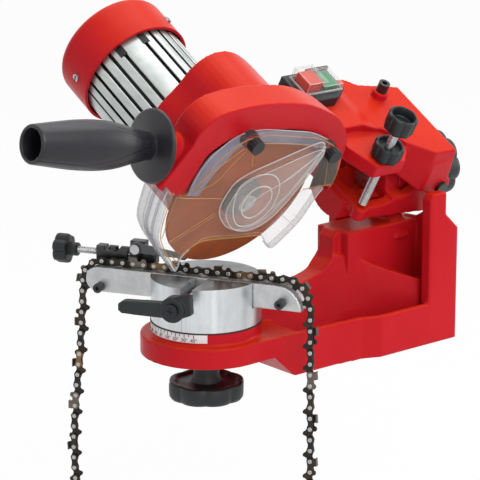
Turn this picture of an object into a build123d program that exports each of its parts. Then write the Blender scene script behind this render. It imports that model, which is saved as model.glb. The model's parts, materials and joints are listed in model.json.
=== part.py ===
from build123d import *
import math
import os

os.makedirs("parts", exist_ok=True)

# Electric chainsaw sharpener. Millimetres, z up, bench plane at z = 0.
# Pieces are drawn about the turntable axis and saved about the centre of the
# four bench bolts. Head pieces are drawn square in their own frame: x along
# the arm, y along the motor axis, z up; the head is then tilted as one.

# ---------- driving dimensions ----------
BOLT_X = (85.0, 165.0)          # bench bolt rows, from the turntable axis
BOLT_Y = 42.0
BOLT_R = 4.25
ORIGIN_X = (BOLT_X[0] + BOLT_X[1]) / 2

RUN = 0.05                      # radial running clearance
GAP = 0.3                       # gap between loose parts
TILT = 30.0                     # rest tilt of the head
TILT_Z = 146.0                  # height of the tilt axis
VISE_TURN = -60.0               # rest direction of the chain rails

RING_R = 57.5                   # outer red ring of the base
SCALE_R = RING_R - 9.5          # ring that carries the angle scale
SCALE_TOP = 49.5
TABLE_R = SCALE_R
TABLE_Z = (49.6, 88.0)
SPINDLE_R = 8.0
STUD_R = 5.0
FOOT_H = 38.0
FLOOR_T = 8.0
SIDE_Y = 68.0                   # half width of the rear of the base
REAR_X = 241.0
TOWER_X = (203.0, 223.0)        # posts beside the tilting saddle
POST_TOP = 139.0
SHOULDER_Z = 104.0
TONGUE_X = (204.0, 220.0)
TABLE_KNOB_R = 34.0
NECK_W = 11.5                   # half width of the neck between the saddle cheeks
TONGUE_R = 26.0

RAIL_Z = (66.0, 88.0)
RAIL_T = 9.15                   # rail thickness
RAIL_GAP = 0.85                 # half of the slot that holds the drive links
RAIL_LEFT = -112.0
RAIL_RIGHT = 90.0
JAW_TRAVEL = 1.2

RIVETS = 90
CHAIN_Z = 91.5
HANG_Z = -84.0                  # where the loop starts to round off below
LINK_R = 3.5
DRIVE_T = 0.75                  # half thickness of a drive link
STRAP_T = (0.8, 2.0)

WHEEL_X = 5.0
WHEEL_Z = 37.2
WHEEL_R = 72.5
WHEEL_W = (-24.65, -20.15)
ARBOR_R = 11.0
SHAFT_R = 5.0
GUARD_Y = (-30.0, 0.0)
COVER_Y = (-40.0, -37.5)
HUMP_Y = (0.0, 60.0)
BARREL_R = 48.0
BARREL_IN = BARREL_R - 5.5
BARREL_Y = (60.0, 168.0)
CAP_R = BARREL_R + 4.4
CAP_Y = (139.6, 185.0)
FRONT_BRG = (1.0, 9.0, 15.0)    # from, to, outer radius
REAR_BRG = (BARREL_Y[1] - 8.0, BARREL_Y[1], 13.0)
FAN_Y = (170.0, 180.0)

PIN_X = 233.0
PIN_Z = 18.0
PIN_R = 4.5
EAR_Y = (38.3, 46.0)
CHEEK_Y = (28.0, 38.0)
TILT_BOLT_X = (181.0, 270.0)
TILT_KNOB_X = (258.0, 279.0)
TILT_KNOB_R = 31.0

ROD_X = 154.0                   # depth stop screw
ROD_Y = -34.0
ROD_R = 4.0
PAD_Z = 0.0
ROD_LOW = 4.0
LUG_Z = (44.0, 58.0)

STUDS = ((-24.0, 114.0), (74.0, 85.0))
STUD_PIN_R = 2.5
SWITCH_X = (104.0, 156.0)
SWITCH_Y = (31.0, 68.6)
ARM_TOP = 66.0
BUTTON_X = ((113.5, 130.0), (133.5, 149.5))
BUTTON_Y = (42.5, 61.5)
BUTTON_TOP = (85.0, 79.5)

HEAD = Location((0, 0, TILT_Z), (TILT, 0, 0))
VISE = Location((0, 0, 0), (0, 0, VISE_TURN))
TABLE = Location((0, 0, 0))


# ---------- small helpers ----------
def poly(points, radius=0.0):
    face = make_face(Polyline(*points, close=True))
    return fillet(face.vertices(), radius) if radius else face


def curved(points, straight):
    """Face whose first points lie on one smooth curve, closed by straight runs."""
    edge = Spline(*points)
    steps = 3 * len(points)
    smooth = [tuple(edge @ (k / steps))[:2] for k in range(steps + 1)]
    return poly(smooth + list(straight))


def slab_z(face, z0, z1):
    return extrude(Pos(0, 0, z0) * face, z1 - z0)


def slab_y(face, y0, y1):
    return extrude(Plane.XZ.offset(-y1) * face, y1 - y0)


def slab_x(face, x0, x1):
    return extrude(Plane.YZ.offset(x0) * face, x1 - x0)


def box(x0, x1, y0, y1, z0, z1):
    low = (Align.MIN, Align.MIN, Align.MIN)
    return Pos(x0, y0, z0) * Box(x1 - x0, y1 - y0, z1 - z0, align=low)


def rod(radius, start, direction, length):
    low = (Align.CENTER, Align.CENTER, Align.MIN)
    return Plane(origin=start, z_dir=direction) * Cylinder(radius, length, align=low)


def tube(outer, inner, start, direction, length):
    return rod(outer, start, direction, length) - rod(inner, start, direction, length)


def disc_y(radius, x, z, y0, y1):
    return rod(radius, (x, y0, z), (0, 1, 0), y1 - y0)


def ring_y(outer, inner, x, z, y0, y1):
    return disc_y(outer, x, z, y0, y1) - disc_y(inner, x, z, y0, y1)


def lobed(radius, lobes, dip):
    """Plan of a hand knob with rounded lobes."""
    lobe = math.pi * radius / lobes * 0.62
    plan = Circle(radius - dip)
    for k in range(lobes):
        turn = 360.0 / lobes * k
        plan += Rot(0, 0, turn) * Pos(radius - lobe, 0) * Circle(lobe)
    return plan


def hex_bar(across, start, direction, length):
    plan = RegularPolygon(across / 2, 6, major_radius=False)
    return Plane(origin=start, z_dir=direction) * extrude(plan, length)


def save(name, shape, frame=TABLE):
    placed = Pos(-ORIGIN_X, 0, 0) * (frame * shape)
    export_step(placed, "parts/" + name + ".step")


def save_many(name, shapes, frame=TABLE):
    solids = []
    for shape in shapes:
        solids.extend((Pos(-ORIGIN_X, 0, 0) * (frame * shape)).solids())
    export_step(Compound(solids), "parts/" + name + ".step")


# ---------- base casting ----------
def foot_plan():
    side = [(0, -57), (100, -58.5), (129, -61), (146, -SIDE_Y), (REAR_X - 4, -SIDE_Y), (REAR_X, -SIDE_Y + 4)]
    other = [(x, -y) for x, y in reversed(side)]
    return poly(side + other) + Circle(RING_R)


def foot_body():
    front, end = -RING_R - 3, REAR_X + 9
    side = poly([(front, 20), (31, 20), (52, 0), (end, 0), (end, FOOT_H), (front, FOOT_H)])
    return slab_z(foot_plan(), 0, FOOT_H) & slab_y(side, -90, 90)


def pocket(sign):
    plan = poly([(60, 52 * sign), (81, 53 * sign), (128, 54.5 * sign), (146, 62 * sign),
                 (222, 62 * sign), (222, 4 * sign), (60, 4 * sign)]) - Circle(RING_R + 3)
    return slab_z(plan, FLOOR_T, 150)


def rear_tower():
    """Side bands, rear wall and the cheeks beside the tilting saddle."""
    front, back = TOWER_X
    end = REAR_X + 9
    shell = slab_z(foot_plan(), 0, POST_TOP) & box(front, end, -90, 90, FOOT_H - 5, POST_TOP)
    shell -= box(front - 3, REAR_X - 10, -SIDE_Y + 11, SIDE_Y - 11, FLOOR_T, POST_TOP + 11)
    cheek = poly([(front, 20), (front, POST_TOP - 5), (front + 4, POST_TOP), (back, POST_TOP),
                  (back, SHOULDER_Z + 14.5), (back + 15, SHOULDER_Z), (end, SHOULDER_Z), (end, 20)])
    shell &= slab_y(cheek, -90, 90)
    shell -= box(front - 3, end, -SIDE_Y + 14, SIDE_Y - 14, SHOULDER_Z - 1, POST_TOP + 11)
    return shell


def skirt():
    """Concave flanks that run from the turntable ring to the rear wall."""
    rows = [
        (52, (10, 50), (13, 38), (20, 22), (30, 8)),
        (100, (10, 63), (13, 45), (20, 24), (30, 8)),
        (124, (10, 69), (14, 52), (22, 28), (30, 8)),
        (140, (12, 84), (18, 62), (26, 34), (31, 8)),
        (165, (24, 76), (28, 56), (31, 34), (32.5, 8)),
        (180, (36, 68), (37, 50), (37, 30), (37, 8)),
        (205, (50, 58), (51, 44), (52, 26), (54, 8)),
        (REAR_X - 9, (56, 48), (56.5, 36), (57, 22), (58, 8)),
    ]
    sections = []
    for x, *points in rows:
        left = [(-half, z) for half, z in reversed(points)]
        sections.append(Plane.YZ.offset(x) * poly(left + points))
    return loft(sections, ruled=True)


def web():
    edge = poly([(50, 8), (50, 50), (106, 65), (118, 67), (128, 71.5), (135, 78.5), (138.5, 88),
                 (138.5, 98), (144, SHOULDER_Z), (REAR_X - 9, SHOULDER_Z), (REAR_X - 9, 8)])
    return slab_y(edge, -10, 10)


def tongue():
    plate = rod(TONGUE_R, (TONGUE_X[0], 0, TILT_Z), (1, 0, 0), TONGUE_X[1] - TONGUE_X[0])
    neck = box(TONGUE_X[0], TONGUE_X[1], -NECK_W, NECK_W, 100, TILT_Z)
    foot = slab_x(poly([(-24, 90), (24, 90), (NECK_W, 114), (-NECK_W, 114)]), *TONGUE_X)
    return plate + neck + foot


def base_casting():
    body = foot_body() - pocket(-1) - pocket(1)
    body += rear_tower()
    body += skirt()
    body += web()
    body += box(147, REAR_X - 9, -21, 21, FLOOR_T - 1, SHOULDER_Z)
    body += tongue()
    body += rod(SCALE_R, (0, 0, FOOT_H - 1), (0, 0, 1), SCALE_TOP - FOOT_H + 1)
    for x in BOLT_X:
        for y in (-BOLT_Y, BOLT_Y):
            body -= rod(8.6, (x, y, FLOOR_T), (0, 0, 1), 60)
            body -= rod(BOLT_R, (x, y, -1), (0, 0, 1), FLOOR_T + 2)
    body -= box(160, 215, -15, 15, 20, 96)
    body -= rod(SPINDLE_R + RUN, (0, 0, 10), (0, 0, 1), 60)
    body -= rod(STUD_R + RUN, (TONGUE_X[0] - 1, 0, TILT_Z), (1, 0, 0), 20)
    return body


def angle_scale():
    """Thin white strip on the scale ring, from 40 degrees left to 40 right."""
    ring = tube(SCALE_R + 0.5, SCALE_R, (0, 0, 41), (0, 0, 1), 7.5)
    start, sweep = -238, 110
    wedge = [(0, 0)]
    for k in range(12):
        turn = math.radians(start + sweep * k / 11)
        wedge.append((80 * math.cos(turn), 80 * math.sin(turn)))
    return ring & slab_z(poly(wedge), 30, 60)


# ---------- turntable and its clamp ----------
def turntable():
    body = rod(TABLE_R, (0, 0, TABLE_Z[0]), (0, 0, 1), TABLE_Z[1] - TABLE_Z[0])
    body -= box(-60, 60, -RAIL_GAP - RAIL_T - JAW_TRAVEL - GAP, RAIL_GAP + RAIL_T, RAIL_Z[0] - 0.1, 100)
    body -= box(-5.5, 5.5, -60, 0, 73.5, 100)
    body -= rod(SPINDLE_R, (0, 0, 40), (0, 0, 1), 20)
    body -= Rot(0, 0, -95) * box(TABLE_R - 0.4, TABLE_R + 1, -0.3, 0.3, 50, 64)
    return body


def table_spindle():
    body = rod(SPINDLE_R, (0, 0, 20.5), (0, 0, 1), 39.5)
    return body + rod(STUD_R, (0, 0, -18), (0, 0, 1), 39)


def table_knob():
    body = slab_z(lobed(TABLE_KNOB_R, 8, 2.4), -23, -7)
    body += rod(11.3, (0, 0, -8), (0, 0, 1), 27.7)
    body += rod(20, (0, 0, -8), (0, 0, 1), 4)
    return body - rod(STUD_R + RUN, (0, 0, -18.3), (0, 0, 1), 60)


# ---------- vise: t along the rails, y across them ----------
def rail_outline():
    low, high = RAIL_Z
    curve = [(RAIL_RIGHT, low), (89, low + 6), (86, low + 12), (81, low + 17.5), (74, high - 1), (66, high)]
    return poly([(RAIL_LEFT + 14, low)] + curve + [(RAIL_LEFT + 14, high)]) + \
        Pos(RAIL_LEFT + 14, (low + high) / 2) * Circle((high - low) / 2 + 0.0) + \
        poly([(RAIL_LEFT + 3, 74), (RAIL_LEFT + 14, low), (RAIL_LEFT + 14, high), (RAIL_LEFT + 4, 84)])


SCREW_AT = ((-95.0, 71.0), (72.6, 73.0))
SCREW_R = 2.5


def rail(y0, y1, hole):
    body = slab_y(rail_outline(), y0, y1)
    for t, z in SCREW_AT:
        body -= disc_y(hole, t, z, y0 - 1, y1 + 1)
    return body


def rail_fixed():
    return rail(RAIL_GAP, RAIL_GAP + RAIL_T, SCREW_R)


def rail_moving():
    body = rail(-RAIL_GAP - RAIL_T, -RAIL_GAP, SCREW_R + RUN)
    return body - disc_y(2.6, 0, 79, -12, -5)


def rail_screws():
    made = []
    for t, z in SCREW_AT:
        head_y = -RAIL_GAP - RAIL_T - JAW_TRAVEL - GAP - 6
        screw = disc_y(SCREW_R, t, z, head_y + 2, RAIL_GAP + RAIL_T - 0.5)
        head = disc_y(4.2, t, z, head_y, head_y + 6)
        socket = hex_bar(3.4, (t, head_y - 0.1, z), (0, 1, 0), 3)
        made.append(screw + head - socket)
    return made


LEVER_Z = 79.0


def clamp_shaft():
    """Pull rod from the moving rail to the cam lever, with its front eye."""
    body = disc_y(2.5, 0, LEVER_Z, -68, -6)
    return body + disc_y(4, 0, LEVER_Z, -69.7, -48.8)


def clamp_lever():
    body = disc_y(11, 0, LEVER_Z, -82, -70)
    arm = poly([(0, 84.5), (-45, 82.5), (-49, 80), (-49, 74), (-46, 71.5), (0, 71)], 1.5)
    body += slab_y(arm, -80.5, -71.5)
    return body - disc_y(3, 0, LEVER_Z, -90, -60)


def lever_screw():
    body = disc_y(3 - RUN, 0, LEVER_Z, -83, -69.7)
    head = disc_y(6, 0, LEVER_Z, -84.6, -82.1)
    cross = box(-3, 3, -85, -83.6, LEVER_Z - 0.6, LEVER_Z + 0.6)
    cross += box(-0.6, 0.6, -85, -83.6, LEVER_Z - 3, LEVER_Z + 3)
    return body + head - cross


# ---------- chain stop ----------
STOP_Y = 12.5
STOP_Z = 96.0
STOP_R = 3.0
PAWL_AT = (-67.0, 104.0)
PAWL_PIN_R = 2.5


def stop_holder():
    body = box(-106, -76, RAIL_GAP + RAIL_T, 17, 72, 90)
    body += box(-106, -76, 6.5, 18.5, 88.2, 103)
    body -= box(-98, -84, 5, 20, 99, 110)
    body += rod(4.2, (-91, STOP_Y, 99), (0, 0, 1), 8)
    return body - rod(STOP_R + RUN, (-110, STOP_Y, STOP_Z), (1, 0, 0), 40)


def stop_rod():
    return rod(STOP_R, (-145, STOP_Y, STOP_Z), (1, 0, 0), 83)


def stop_knob():
    plan = lobed(13.5, 6, 1.6)
    body = slab_x(plan, -146, -133)
    body = Pos(0, STOP_Y, STOP_Z) * body
    body += rod(6, (-134, STOP_Y, STOP_Z), (1, 0, 0), 9)
    return body - rod(STOP_R + RUN, (-145.3, STOP_Y, STOP_Z), (1, 0, 0), 40)


def stop_carrier():
    body = box(-74, -50, 7.4, 17.5, 90, 101)
    body += box(-74, -60, 7.4, 17.5, 100, 110)
    body -= rod(STOP_R, (-75, STOP_Y, STOP_Z), (1, 0, 0), 13.0)
    return body - disc_y(PAWL_PIN_R, *PAWL_AT, 0, 30)


def pawl():
    t, z = PAWL_AT
    plan = poly([(t - 5, z - 3), (t + 8, 99.4), (-30, 99.4), (-19, 99.4), (-19, 101.6), (-28, 104),
                 (t + 10, 108), (t, z + 6)]) + Pos(t, z) * Circle(6)
    body = slab_y(plan, 3.4, 7.2)
    body += box(-26, -19, -1.4, 3.6, 99.4, 101.4)
    return body - disc_y(PAWL_PIN_R + RUN, t, z, 0, 30)


def pawl_bolt():
    t, z = PAWL_AT
    body = disc_y(PAWL_PIN_R, t, z, 2, 21)
    body += disc_y(4.4, t, z, 0.9, 3.2)
    return body + hex_bar(8, (t, 17.5, z), (0, 1, 0), 3.6)


# ---------- saw chain, clamped in the rails ----------
def chain_path(drop):
    """Closed loop of rivet centres in the plane of the rails."""
    left, right, top = -115.5, 95.5, CHAIN_Z
    a = Line((-97, 0, top), (74, 0, top))
    b = Spline((74, 0, top), (88.5, 0, 85), (right, 0, 68), tangents=((1, 0, 0), (0.08, 0, -1)))
    c = Line((right, 0, 68), (right + 1, 0, HANG_Z))
    far = -127.0
    middle, half = (right + 1 + far) / 2, (right + 1 - far) / 2
    sag = []
    for k in range(9):
        turn = math.pi * k / 8
        sag.append((middle + half * math.cos(turn), 0, HANG_Z + (drop - HANG_Z) * math.sin(turn)))
    d = Spline(*sag, tangents=((0, 0, -1), (0, 0, 1)))
    e = Spline((far, 0, HANG_Z), (-120.5, 0, 0), (left, 0, 73), tangents=((0, 0, 1), (0.05, 0, 1)))
    f = Spline((left, 0, 73), (-110, 0, 86), (-97, 0, top), tangents=((0.05, 0, 1), (1, 0, 0)))
    return Wire([a, b, c, d, e, f])


def rivet_points():
    path = chain_path(-188)
    points = []
    for k in range(RIVETS):
        at = path.position_at(k / RIVETS)
        points.append((at.X, at.Z))
    return points


CHAIN = rivet_points()


def on_link(shape, k):
    """Place a link shape between rivet k and the next, outside up."""
    t0, z0 = CHAIN[k % RIVETS]
    t1, z1 = CHAIN[(k + 1) % RIVETS]
    middle = ((t0 + t1) / 2, 0, (z0 + z1) / 2)
    spot = Plane(origin=middle, x_dir=(t1 - t0, 0, z1 - z0), z_dir=(0, -1, 0))
    return spot * Pos(-link_length() / 2, 0, 0) * shape


def link_length():
    t0, z0 = CHAIN[2]
    t1, z1 = CHAIN[3]
    return math.hypot(t1 - t0, z1 - z0)


def link_plate(low, high, waist, holes=1.9):
    pitch = link_length()
    plan = Circle(LINK_R - 0.1) + Pos(pitch, 0) * Circle(LINK_R - 0.1)
    plan += poly([(0, -waist), (pitch, -waist), (pitch, waist), (0, waist)])
    plan -= Circle(holes) + Pos(pitch, 0) * Circle(holes)
    return extrude(Pos(0, 0, low) * plan, high - low)


def drive_link():
    pitch = link_length()
    tang = poly([(1.4, -2), (2.6, -5.2), (4.4, -7.2), (6, -6.6), (pitch - 1.6, -3), (pitch - 1, 0), (1, 0)])
    tang = extrude(Pos(0, 0, -DRIVE_T) * tang, 2 * DRIVE_T)
    tang -= rod(1.9, (0, 0, -5), (0, 0, 1), 10) + rod(1.9, (pitch, 0, -5), (0, 0, 1), 10)
    return link_plate(-DRIVE_T, DRIVE_T, 2.4) + tang


def cutter(side):
    """Cutting link: side plate, depth gauge and a top plate bent over."""
    pitch = link_length()
    low, high = (STRAP_T[0], STRAP_T[1]) if side > 0 else (-STRAP_T[1], -STRAP_T[0])
    rise = poly([(-3.2, 0), (-3.4, 5.6), (3.4, 6.4), (4.4, 3.2), (6.6, 3), (8.2, 6), (11.6, 5.2), (12, 0)])
    rise -= Circle(1.9) + Pos(pitch, 0) * Circle(1.9)
    body = link_plate(low, high, 3.0) + extrude(Pos(0, 0, low) * rise, high - low)
    across = (low, high - 3.6) if side > 0 else (low + 3.6, high)
    top = poly([(-3.4, 5.0), (-3.4, 6.0), (3.4, 6.8), (3.4, 5.8)])
    return body + extrude(Pos(0, 0, min(across)) * top, abs(across[1] - across[0]) + 0.0)


def chain_nodes():
    drive = drive_link()
    near = link_plate(STRAP_T[0], STRAP_T[1], 2.6)
    far = link_plate(-STRAP_T[1], -STRAP_T[0], 2.6)
    near_cutter, far_cutter = cutter(1), cutter(-1)
    rivet = rod(1.6, (0, 0, -2.05), (0, 0, 1), 4.1)
    rivet += rod(2.4, (0, 0, STRAP_T[1] + 0.02), (0, 0, 1), 0.6)
    rivet += rod(2.4, (0, 0, -STRAP_T[1] - 0.62), (0, 0, 1), 0.6)
    drives, straps, cutters, rivets = [], [], [], []
    for k in range(RIVETS):
        t, z = CHAIN[k]
        rivets.append(Plane(origin=(t, 0, z), z_dir=(0, -1, 0)) * rivet)
        if k % 2 == 0:
            drives.append(on_link(drive, k))
            continue
        turn = (k // 2) % 4
        (cutters if turn == 1 else straps).append(on_link(near_cutter if turn == 1 else near, k))
        (cutters if turn == 3 else straps).append(on_link(far_cutter if turn == 3 else far, k))
    return drives, straps, cutters, rivets


# ---------- tilting saddle ----------
def saddle():
    flange_x = (188.0, TONGUE_X[0] - GAP)
    body = rod(TONGUE_R, (flange_x[0], 0, 0), (1, 0, 0), flange_x[1] - flange_x[0])
    body += box(flange_x[0], flange_x[1], -CHEEK_Y[1], CHEEK_Y[1], -12, 5)
    side = poly([(150, -12), (206, -16), (240, -20), (246, -10), (243, 18), (233, 29), (222, 22),
                 (206, 6), (180, 0), (150, 0)])
    side += Pos(PIN_X, PIN_Z) * Circle(11)
    for sign in (-1, 1):
        y0, y1 = sorted((sign * CHEEK_Y[0], sign * CHEEK_Y[1]))
        body += slab_y(side, y0, y1)
    body += box(150, 162, -CHEEK_Y[1], CHEEK_Y[1], -12, 0)
    nose = slab_x(Circle(32) & poly([(-21, -40), (21, -40), (21, -5), (-21, -5)]), 147, 189)
    body += nose
    body += rod(7, (ROD_X, ROD_Y, -12), (0, 0, 1), 12 + PAD_Z)
    body -= rod(STUD_R, (180, 0, 0), (1, 0, 0), 40)
    body -= rod(10, (160, 0, 0), (1, 0, 0), 28)
    return body - disc_y(PIN_R, PIN_X, PIN_Z, -60, 60)


def pivot_pin():
    body = disc_y(PIN_R, PIN_X, PIN_Z, -47.5, 49)
    return body + disc_y(6, PIN_X, PIN_Z, -49.5, -46.3)


def pin_clip():
    return ring_y(7, PIN_R, PIN_X, PIN_Z, 46.4, 47.8)


def return_spring():
    coil = Helix(2.6, 13, 6.6)
    section = Plane(origin=coil @ 0, z_dir=coil % 0) * Circle(1.0)
    body = sweep(section, path=coil, is_frenet=True)
    return Pos(PIN_X, 26.5, PIN_Z) * Rot(90, 0, 0) * body


def tilt_bolt():
    start, end = TILT_BOLT_X
    body = rod(STUD_R, (start, 0, 0), (1, 0, 0), end - start)
    return body + hex_bar(16, (start, 0, 0), (1, 0, 0), 6.9)


def tilt_washer():
    x = TONGUE_X[1]
    return tube(11, STUD_R + RUN, (x, 0, 0), (1, 0, 0), 2)


def tilt_knob():
    x = TONGUE_X[1] + 2.1
    low, high = TILT_KNOB_X
    body = rod(10, (x, 0, 0), (1, 0, 0), low + 1 - x)
    body += slab_x(lobed(TILT_KNOB_R, 8, 2.4), low, high)
    return body - rod(STUD_R + RUN, (x - 1, 0, 0), (1, 0, 0), TILT_BOLT_X[1] + 1 - x)


# ---------- head casting ----------
HUMP_TOP = [(-42, 62), (-37, 80), (-27, 96), (-20, 111), (-9, 122.5), (5, 126.5), (20, 124), (36, 115),
            (54, 101), (72, 86)]
HUMP_LOW = [(85, 70), (85, 30), (62, -3), (30, -15), (-20, -15), (-46, 20)]
ARM_PLAN = [(78, 2), (150, 2), (155, 1), (174, -4), (185, -25), (207, -45), (237, -46), (232, 44),
            (211, 50), (191, 55), (181, 65), (150, 69), (78, 69)]


def hump():
    outline = curved(HUMP_TOP, HUMP_LOW)
    body = slab_y(outline, *HUMP_Y)
    inner = offset(outline, -6)
    body -= slab_y(inner, HUMP_Y[0] + 6, HUMP_Y[1] - 6)
    body -= disc_y(BARREL_IN - 1.5, WHEEL_X, WHEEL_Z, HUMP_Y[1] - 10, HUMP_Y[1] + 1)
    body += disc_y(21, WHEEL_X, WHEEL_Z, HUMP_Y[0], FRONT_BRG[1] + 1)
    body -= disc_y(FRONT_BRG[2], WHEEL_X, WHEEL_Z, FRONT_BRG[0], 12)
    return body - disc_y(9, WHEEL_X, WHEEL_Z, -5, 12)


def arm_shell():
    end, step = PIN_X + 4, SWITCH_X[1] + 12
    side = poly([(78, 42), (139, 39), (181, 30), (209, 16), (222, 14), (226, 34), (end, 34),
                 (end - 5.5, ARM_TOP - 4), (step, ARM_TOP - 3.5), (step - 12, ARM_TOP), (78, ARM_TOP)])
    roof = poly([(60, -20), (end - 5, -20), (end - 5.5, 34), (end - 10.5, ARM_TOP - 9),
                 (step, ARM_TOP - 8.5), (step - 12, ARM_TOP - 5), (60, ARM_TOP - 5)])
    body = slab_z(poly(ARM_PLAN), 0, 90) & slab_y(side, -80, 80)
    body -= disc_y(14, PIN_X, PIN_Z, -EAR_Y[0], EAR_Y[0])
    hollow = slab_z(offset(poly(ARM_PLAN), -5), 0, 90) & slab_y(roof, -80, 80)
    return body - hollow


def ear(sign):
    plan = poly([(210, 18), (226, 9), (240, 10), (238, 30), (226, 50), (210, 50)])
    plan += Pos(PIN_X, PIN_Z) * Circle(11)
    y0, y1 = sorted((sign * EAR_Y[0], sign * EAR_Y[1]))
    return slab_y(plan, y0, y1)


def lug():
    plan = poly([(128, 3), (127, -14), (139, -43), (172, -43), (190, -26), (178, 0), (157, 3)])
    return slab_z(plan, *LUG_Z)


HANDLE_DIR = Vector(-126, 11, 17).normalized()
HANDLE_AT = Vector(-103.5, -11, 102)


FLANGE_R = 30.8
GRIP_L = 122.0


def handle_boss():
    """Round lug on the left wall of the guard that the grip bolts to."""
    return rod(12, HANDLE_AT - HANDLE_DIR * 40, HANDLE_DIR, 40)


def head_arm():
    body = hump() + arm_shell() + lug() + ear(-1) + ear(1)
    body += box(84, 90, 0, 60, 40, ARM_TOP)
    body += rod(7.5, (200, 35, 54), (0, 0, 1), 16)
    body -= rod(3, (200, 35, 56), (0, 0, 1), 20)
    body -= rod(ROD_R + RUN, (ROD_X, ROD_Y, 30), (0, 0, 1), 60)
    body -= box(SWITCH_X[0] + 5, SWITCH_X[1] - 6, SWITCH_Y[0] + 10, SWITCH_Y[1] - 5, 55, 80)
    return body - disc_y(PIN_R + RUN, PIN_X, PIN_Z, -60, 60)


# ---------- wheel guard and cover ----------
GUARD_OUT = [(-80, 114), (-76.5, 128.5), (-71.6, 135.3), (-63.7, 141.2), (-49.4, 144.7), (-34.1, 145.9),
             (-12.4, 145.2), (10.5, 142.1), (31.3, 137.4), (48.9, 130.4), (66.6, 121.2), (81.4, 111.3),
             (93.4, 97.9), (101.7, 84.5), (105, 68), (107.5, 49.7)]
GUARD_IN = [(98, 65), (92, 78), (75, 91), (54, 102), (19, 112), (-14, 116), (-25, 116), (-42, 111),
            (-57, 100), (-61, 83)]
GUARD_TIP = [(-69, 57), (-83.4, 60.1), (-98.6, 69.9)]
GUARD_LOW = [(109, 33), (90, 0), (60, -10), (30, -15), (-20, -15), (-50, 15), (-66, 50)]
GUARD_T = 4.0


def wheel_guard():
    low, high = GUARD_Y
    outline = curved(GUARD_OUT, GUARD_LOW + GUARD_TIP)
    body = slab_y(outline, low, high)
    body -= slab_y(offset(outline, -GUARD_T), low + GUARD_T, high - GUARD_T)
    window = curved(GUARD_IN, [GUARD_TIP[0], (-69, -60), (104, -60), (104, 33)])
    body -= slab_y(window, low - 1, high - GUARD_T)
    body += handle_boss() & box(-120, -62, low + 2, high, 60, 140)
    for x, z in STUDS:
        body += disc_y(7, x, z, COVER_Y[1], high)
        body -= disc_y(STUD_PIN_R, x, z, -50, -20)
    body -= rod(4, HANDLE_AT - HANDLE_DIR * 25, HANDLE_DIR, 30)
    return body - disc_y(16, WHEEL_X, WHEEL_Z, -40, 5)


COVER = [(-92.9, 77.4), (-92.5, 69.7), (-93.2, 56.7), (-92.1, 43.3), (-89.5, 27.1), (-83.7, 14.5),
         (-70.2, -3.4), (-53.1, -22.8), (-51.3, -19.5), (-51.6, -5.6), (-43.6, 5.2), (-32.6, 8.3),
         (-12.7, 6), (6.5, 2.8), (25.4, 0.2), (33.8, -2.3), (46, 20), (59.3, 43.6), (85, 44.6), (93.3, 41.6),
         (93, 49.7), (87.7, 73.6), (79.5, 88.8), (67.4, 97.9), (44.4, 111.1), (12.1, 121.6), (-24.6, 126.3),
         (-37.5, 126.6), (-42.9, 124.4), (-56.5, 121.7), (-65.2, 114.9), (-68.5, 104.8), (-71.3, 85.9),
         (-76.7, 73)]
COVER_SIDE = [(-110, 74), (-110, -8), (-70, -8), (-66, -3), (-80, 20), (-86, 50), (-86, 74)]
PANEL = [(34.6, -3), (45.7, -16.8), (52.5, -22), (58.4, -19.8), (75.3, 4.7), (83.2, 33.3), (87, 40.6),
         (84.8, 43.9), (59.8, 42.8), (47, 19.6)]
BULGE = [(-30.3, 42.6), (-21.8, 27.2), (-9.1, 15.2), (7.4, 12.6), (22.1, 17.3), (34.5, 35.2), (48.2, 55.1),
         (62.7, 78.1), (61.7, 95.1), (53.2, 99), (31.2, 93.4), (1.8, 84.9), (-17.9, 80.1), (-28.5, 66.8)]


def clear_cover():
    """Front window with a turned-back rim and the bulge over the arbor."""
    plate = slab_y(poly(COVER), *COVER_Y)
    rim = slab_y(poly(COVER) - offset(poly(COVER), -2.2), COVER_Y[1], GUARD_Y[0] - 0.4)
    body = plate + rim
    deep = poly(COVER) & poly(COVER_SIDE)
    deep -= offset(poly(COVER), -2.2)
    deep -= offset(curved(GUARD_OUT, GUARD_LOW + GUARD_TIP), 1.0)
    body += slab_y(deep, GUARD_Y[0] - 1, COVER_Y[0] + 32)
    body += slab_y(poly(BULGE, 3), COVER_Y[0] - 6, COVER_Y[0])
    body -= slab_y(offset(poly(BULGE, 3), -2.4), COVER_Y[0] - 3.8, COVER_Y[1] + 0.1)
    for x, z in STUDS:
        body -= disc_y(7, x, z, -50, -39.9)
        body -= disc_y(7.3, x, z, COVER_Y[1], 0)
        body += ring_y(8.5, STUD_PIN_R + 0.2, x, z, *COVER_Y)
        body -= disc_y(STUD_PIN_R + 0.2, x, z, -50, -30)
    return body


def lower_window():
    plan = poly(PANEL)
    body = slab_y(plan, COVER_Y[0] + 0.3, COVER_Y[1] - 0.2)
    lip = plan - offset(plan, -2.0)
    lip &= poly([(42, -30), (95, -30), (95, 36), (78, 36), (62, -6), (46, -14)])
    body += slab_y(lip, COVER_Y[1] - 0.2, -33)
    rib = poly([(62, 16), (75, 7), (76, 8.5), (63, 17.5)])
    return body + slab_y(rib, COVER_Y[0] - 1, COVER_Y[0] + 0.5)


def cover_studs():
    return [disc_y(STUD_PIN_R, x, z, -46, -20) for x, z in STUDS]


def thumb_nuts():
    made = []
    for x, z in STUDS:
        plan = Circle(6.6)
        for k in range(12):
            plan -= Rot(0, 0, 30 * k) * Pos(7.0, 0) * Circle(0.8)
        nut = Pos(x, 0, z) * slab_y(plan, -47.5, COVER_Y[0])
        made.append(nut - disc_y(STUD_PIN_R, x, z, -46, -30))
    return made


# ---------- wheel, arbor and motor ----------
def on_axis(outer, inner, y0, y1):
    return ring_y(outer, inner, WHEEL_X, WHEEL_Z, y0, y1)


def grinding_wheel():
    return on_axis(WHEEL_R, ARBOR_R, *WHEEL_W)


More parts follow.
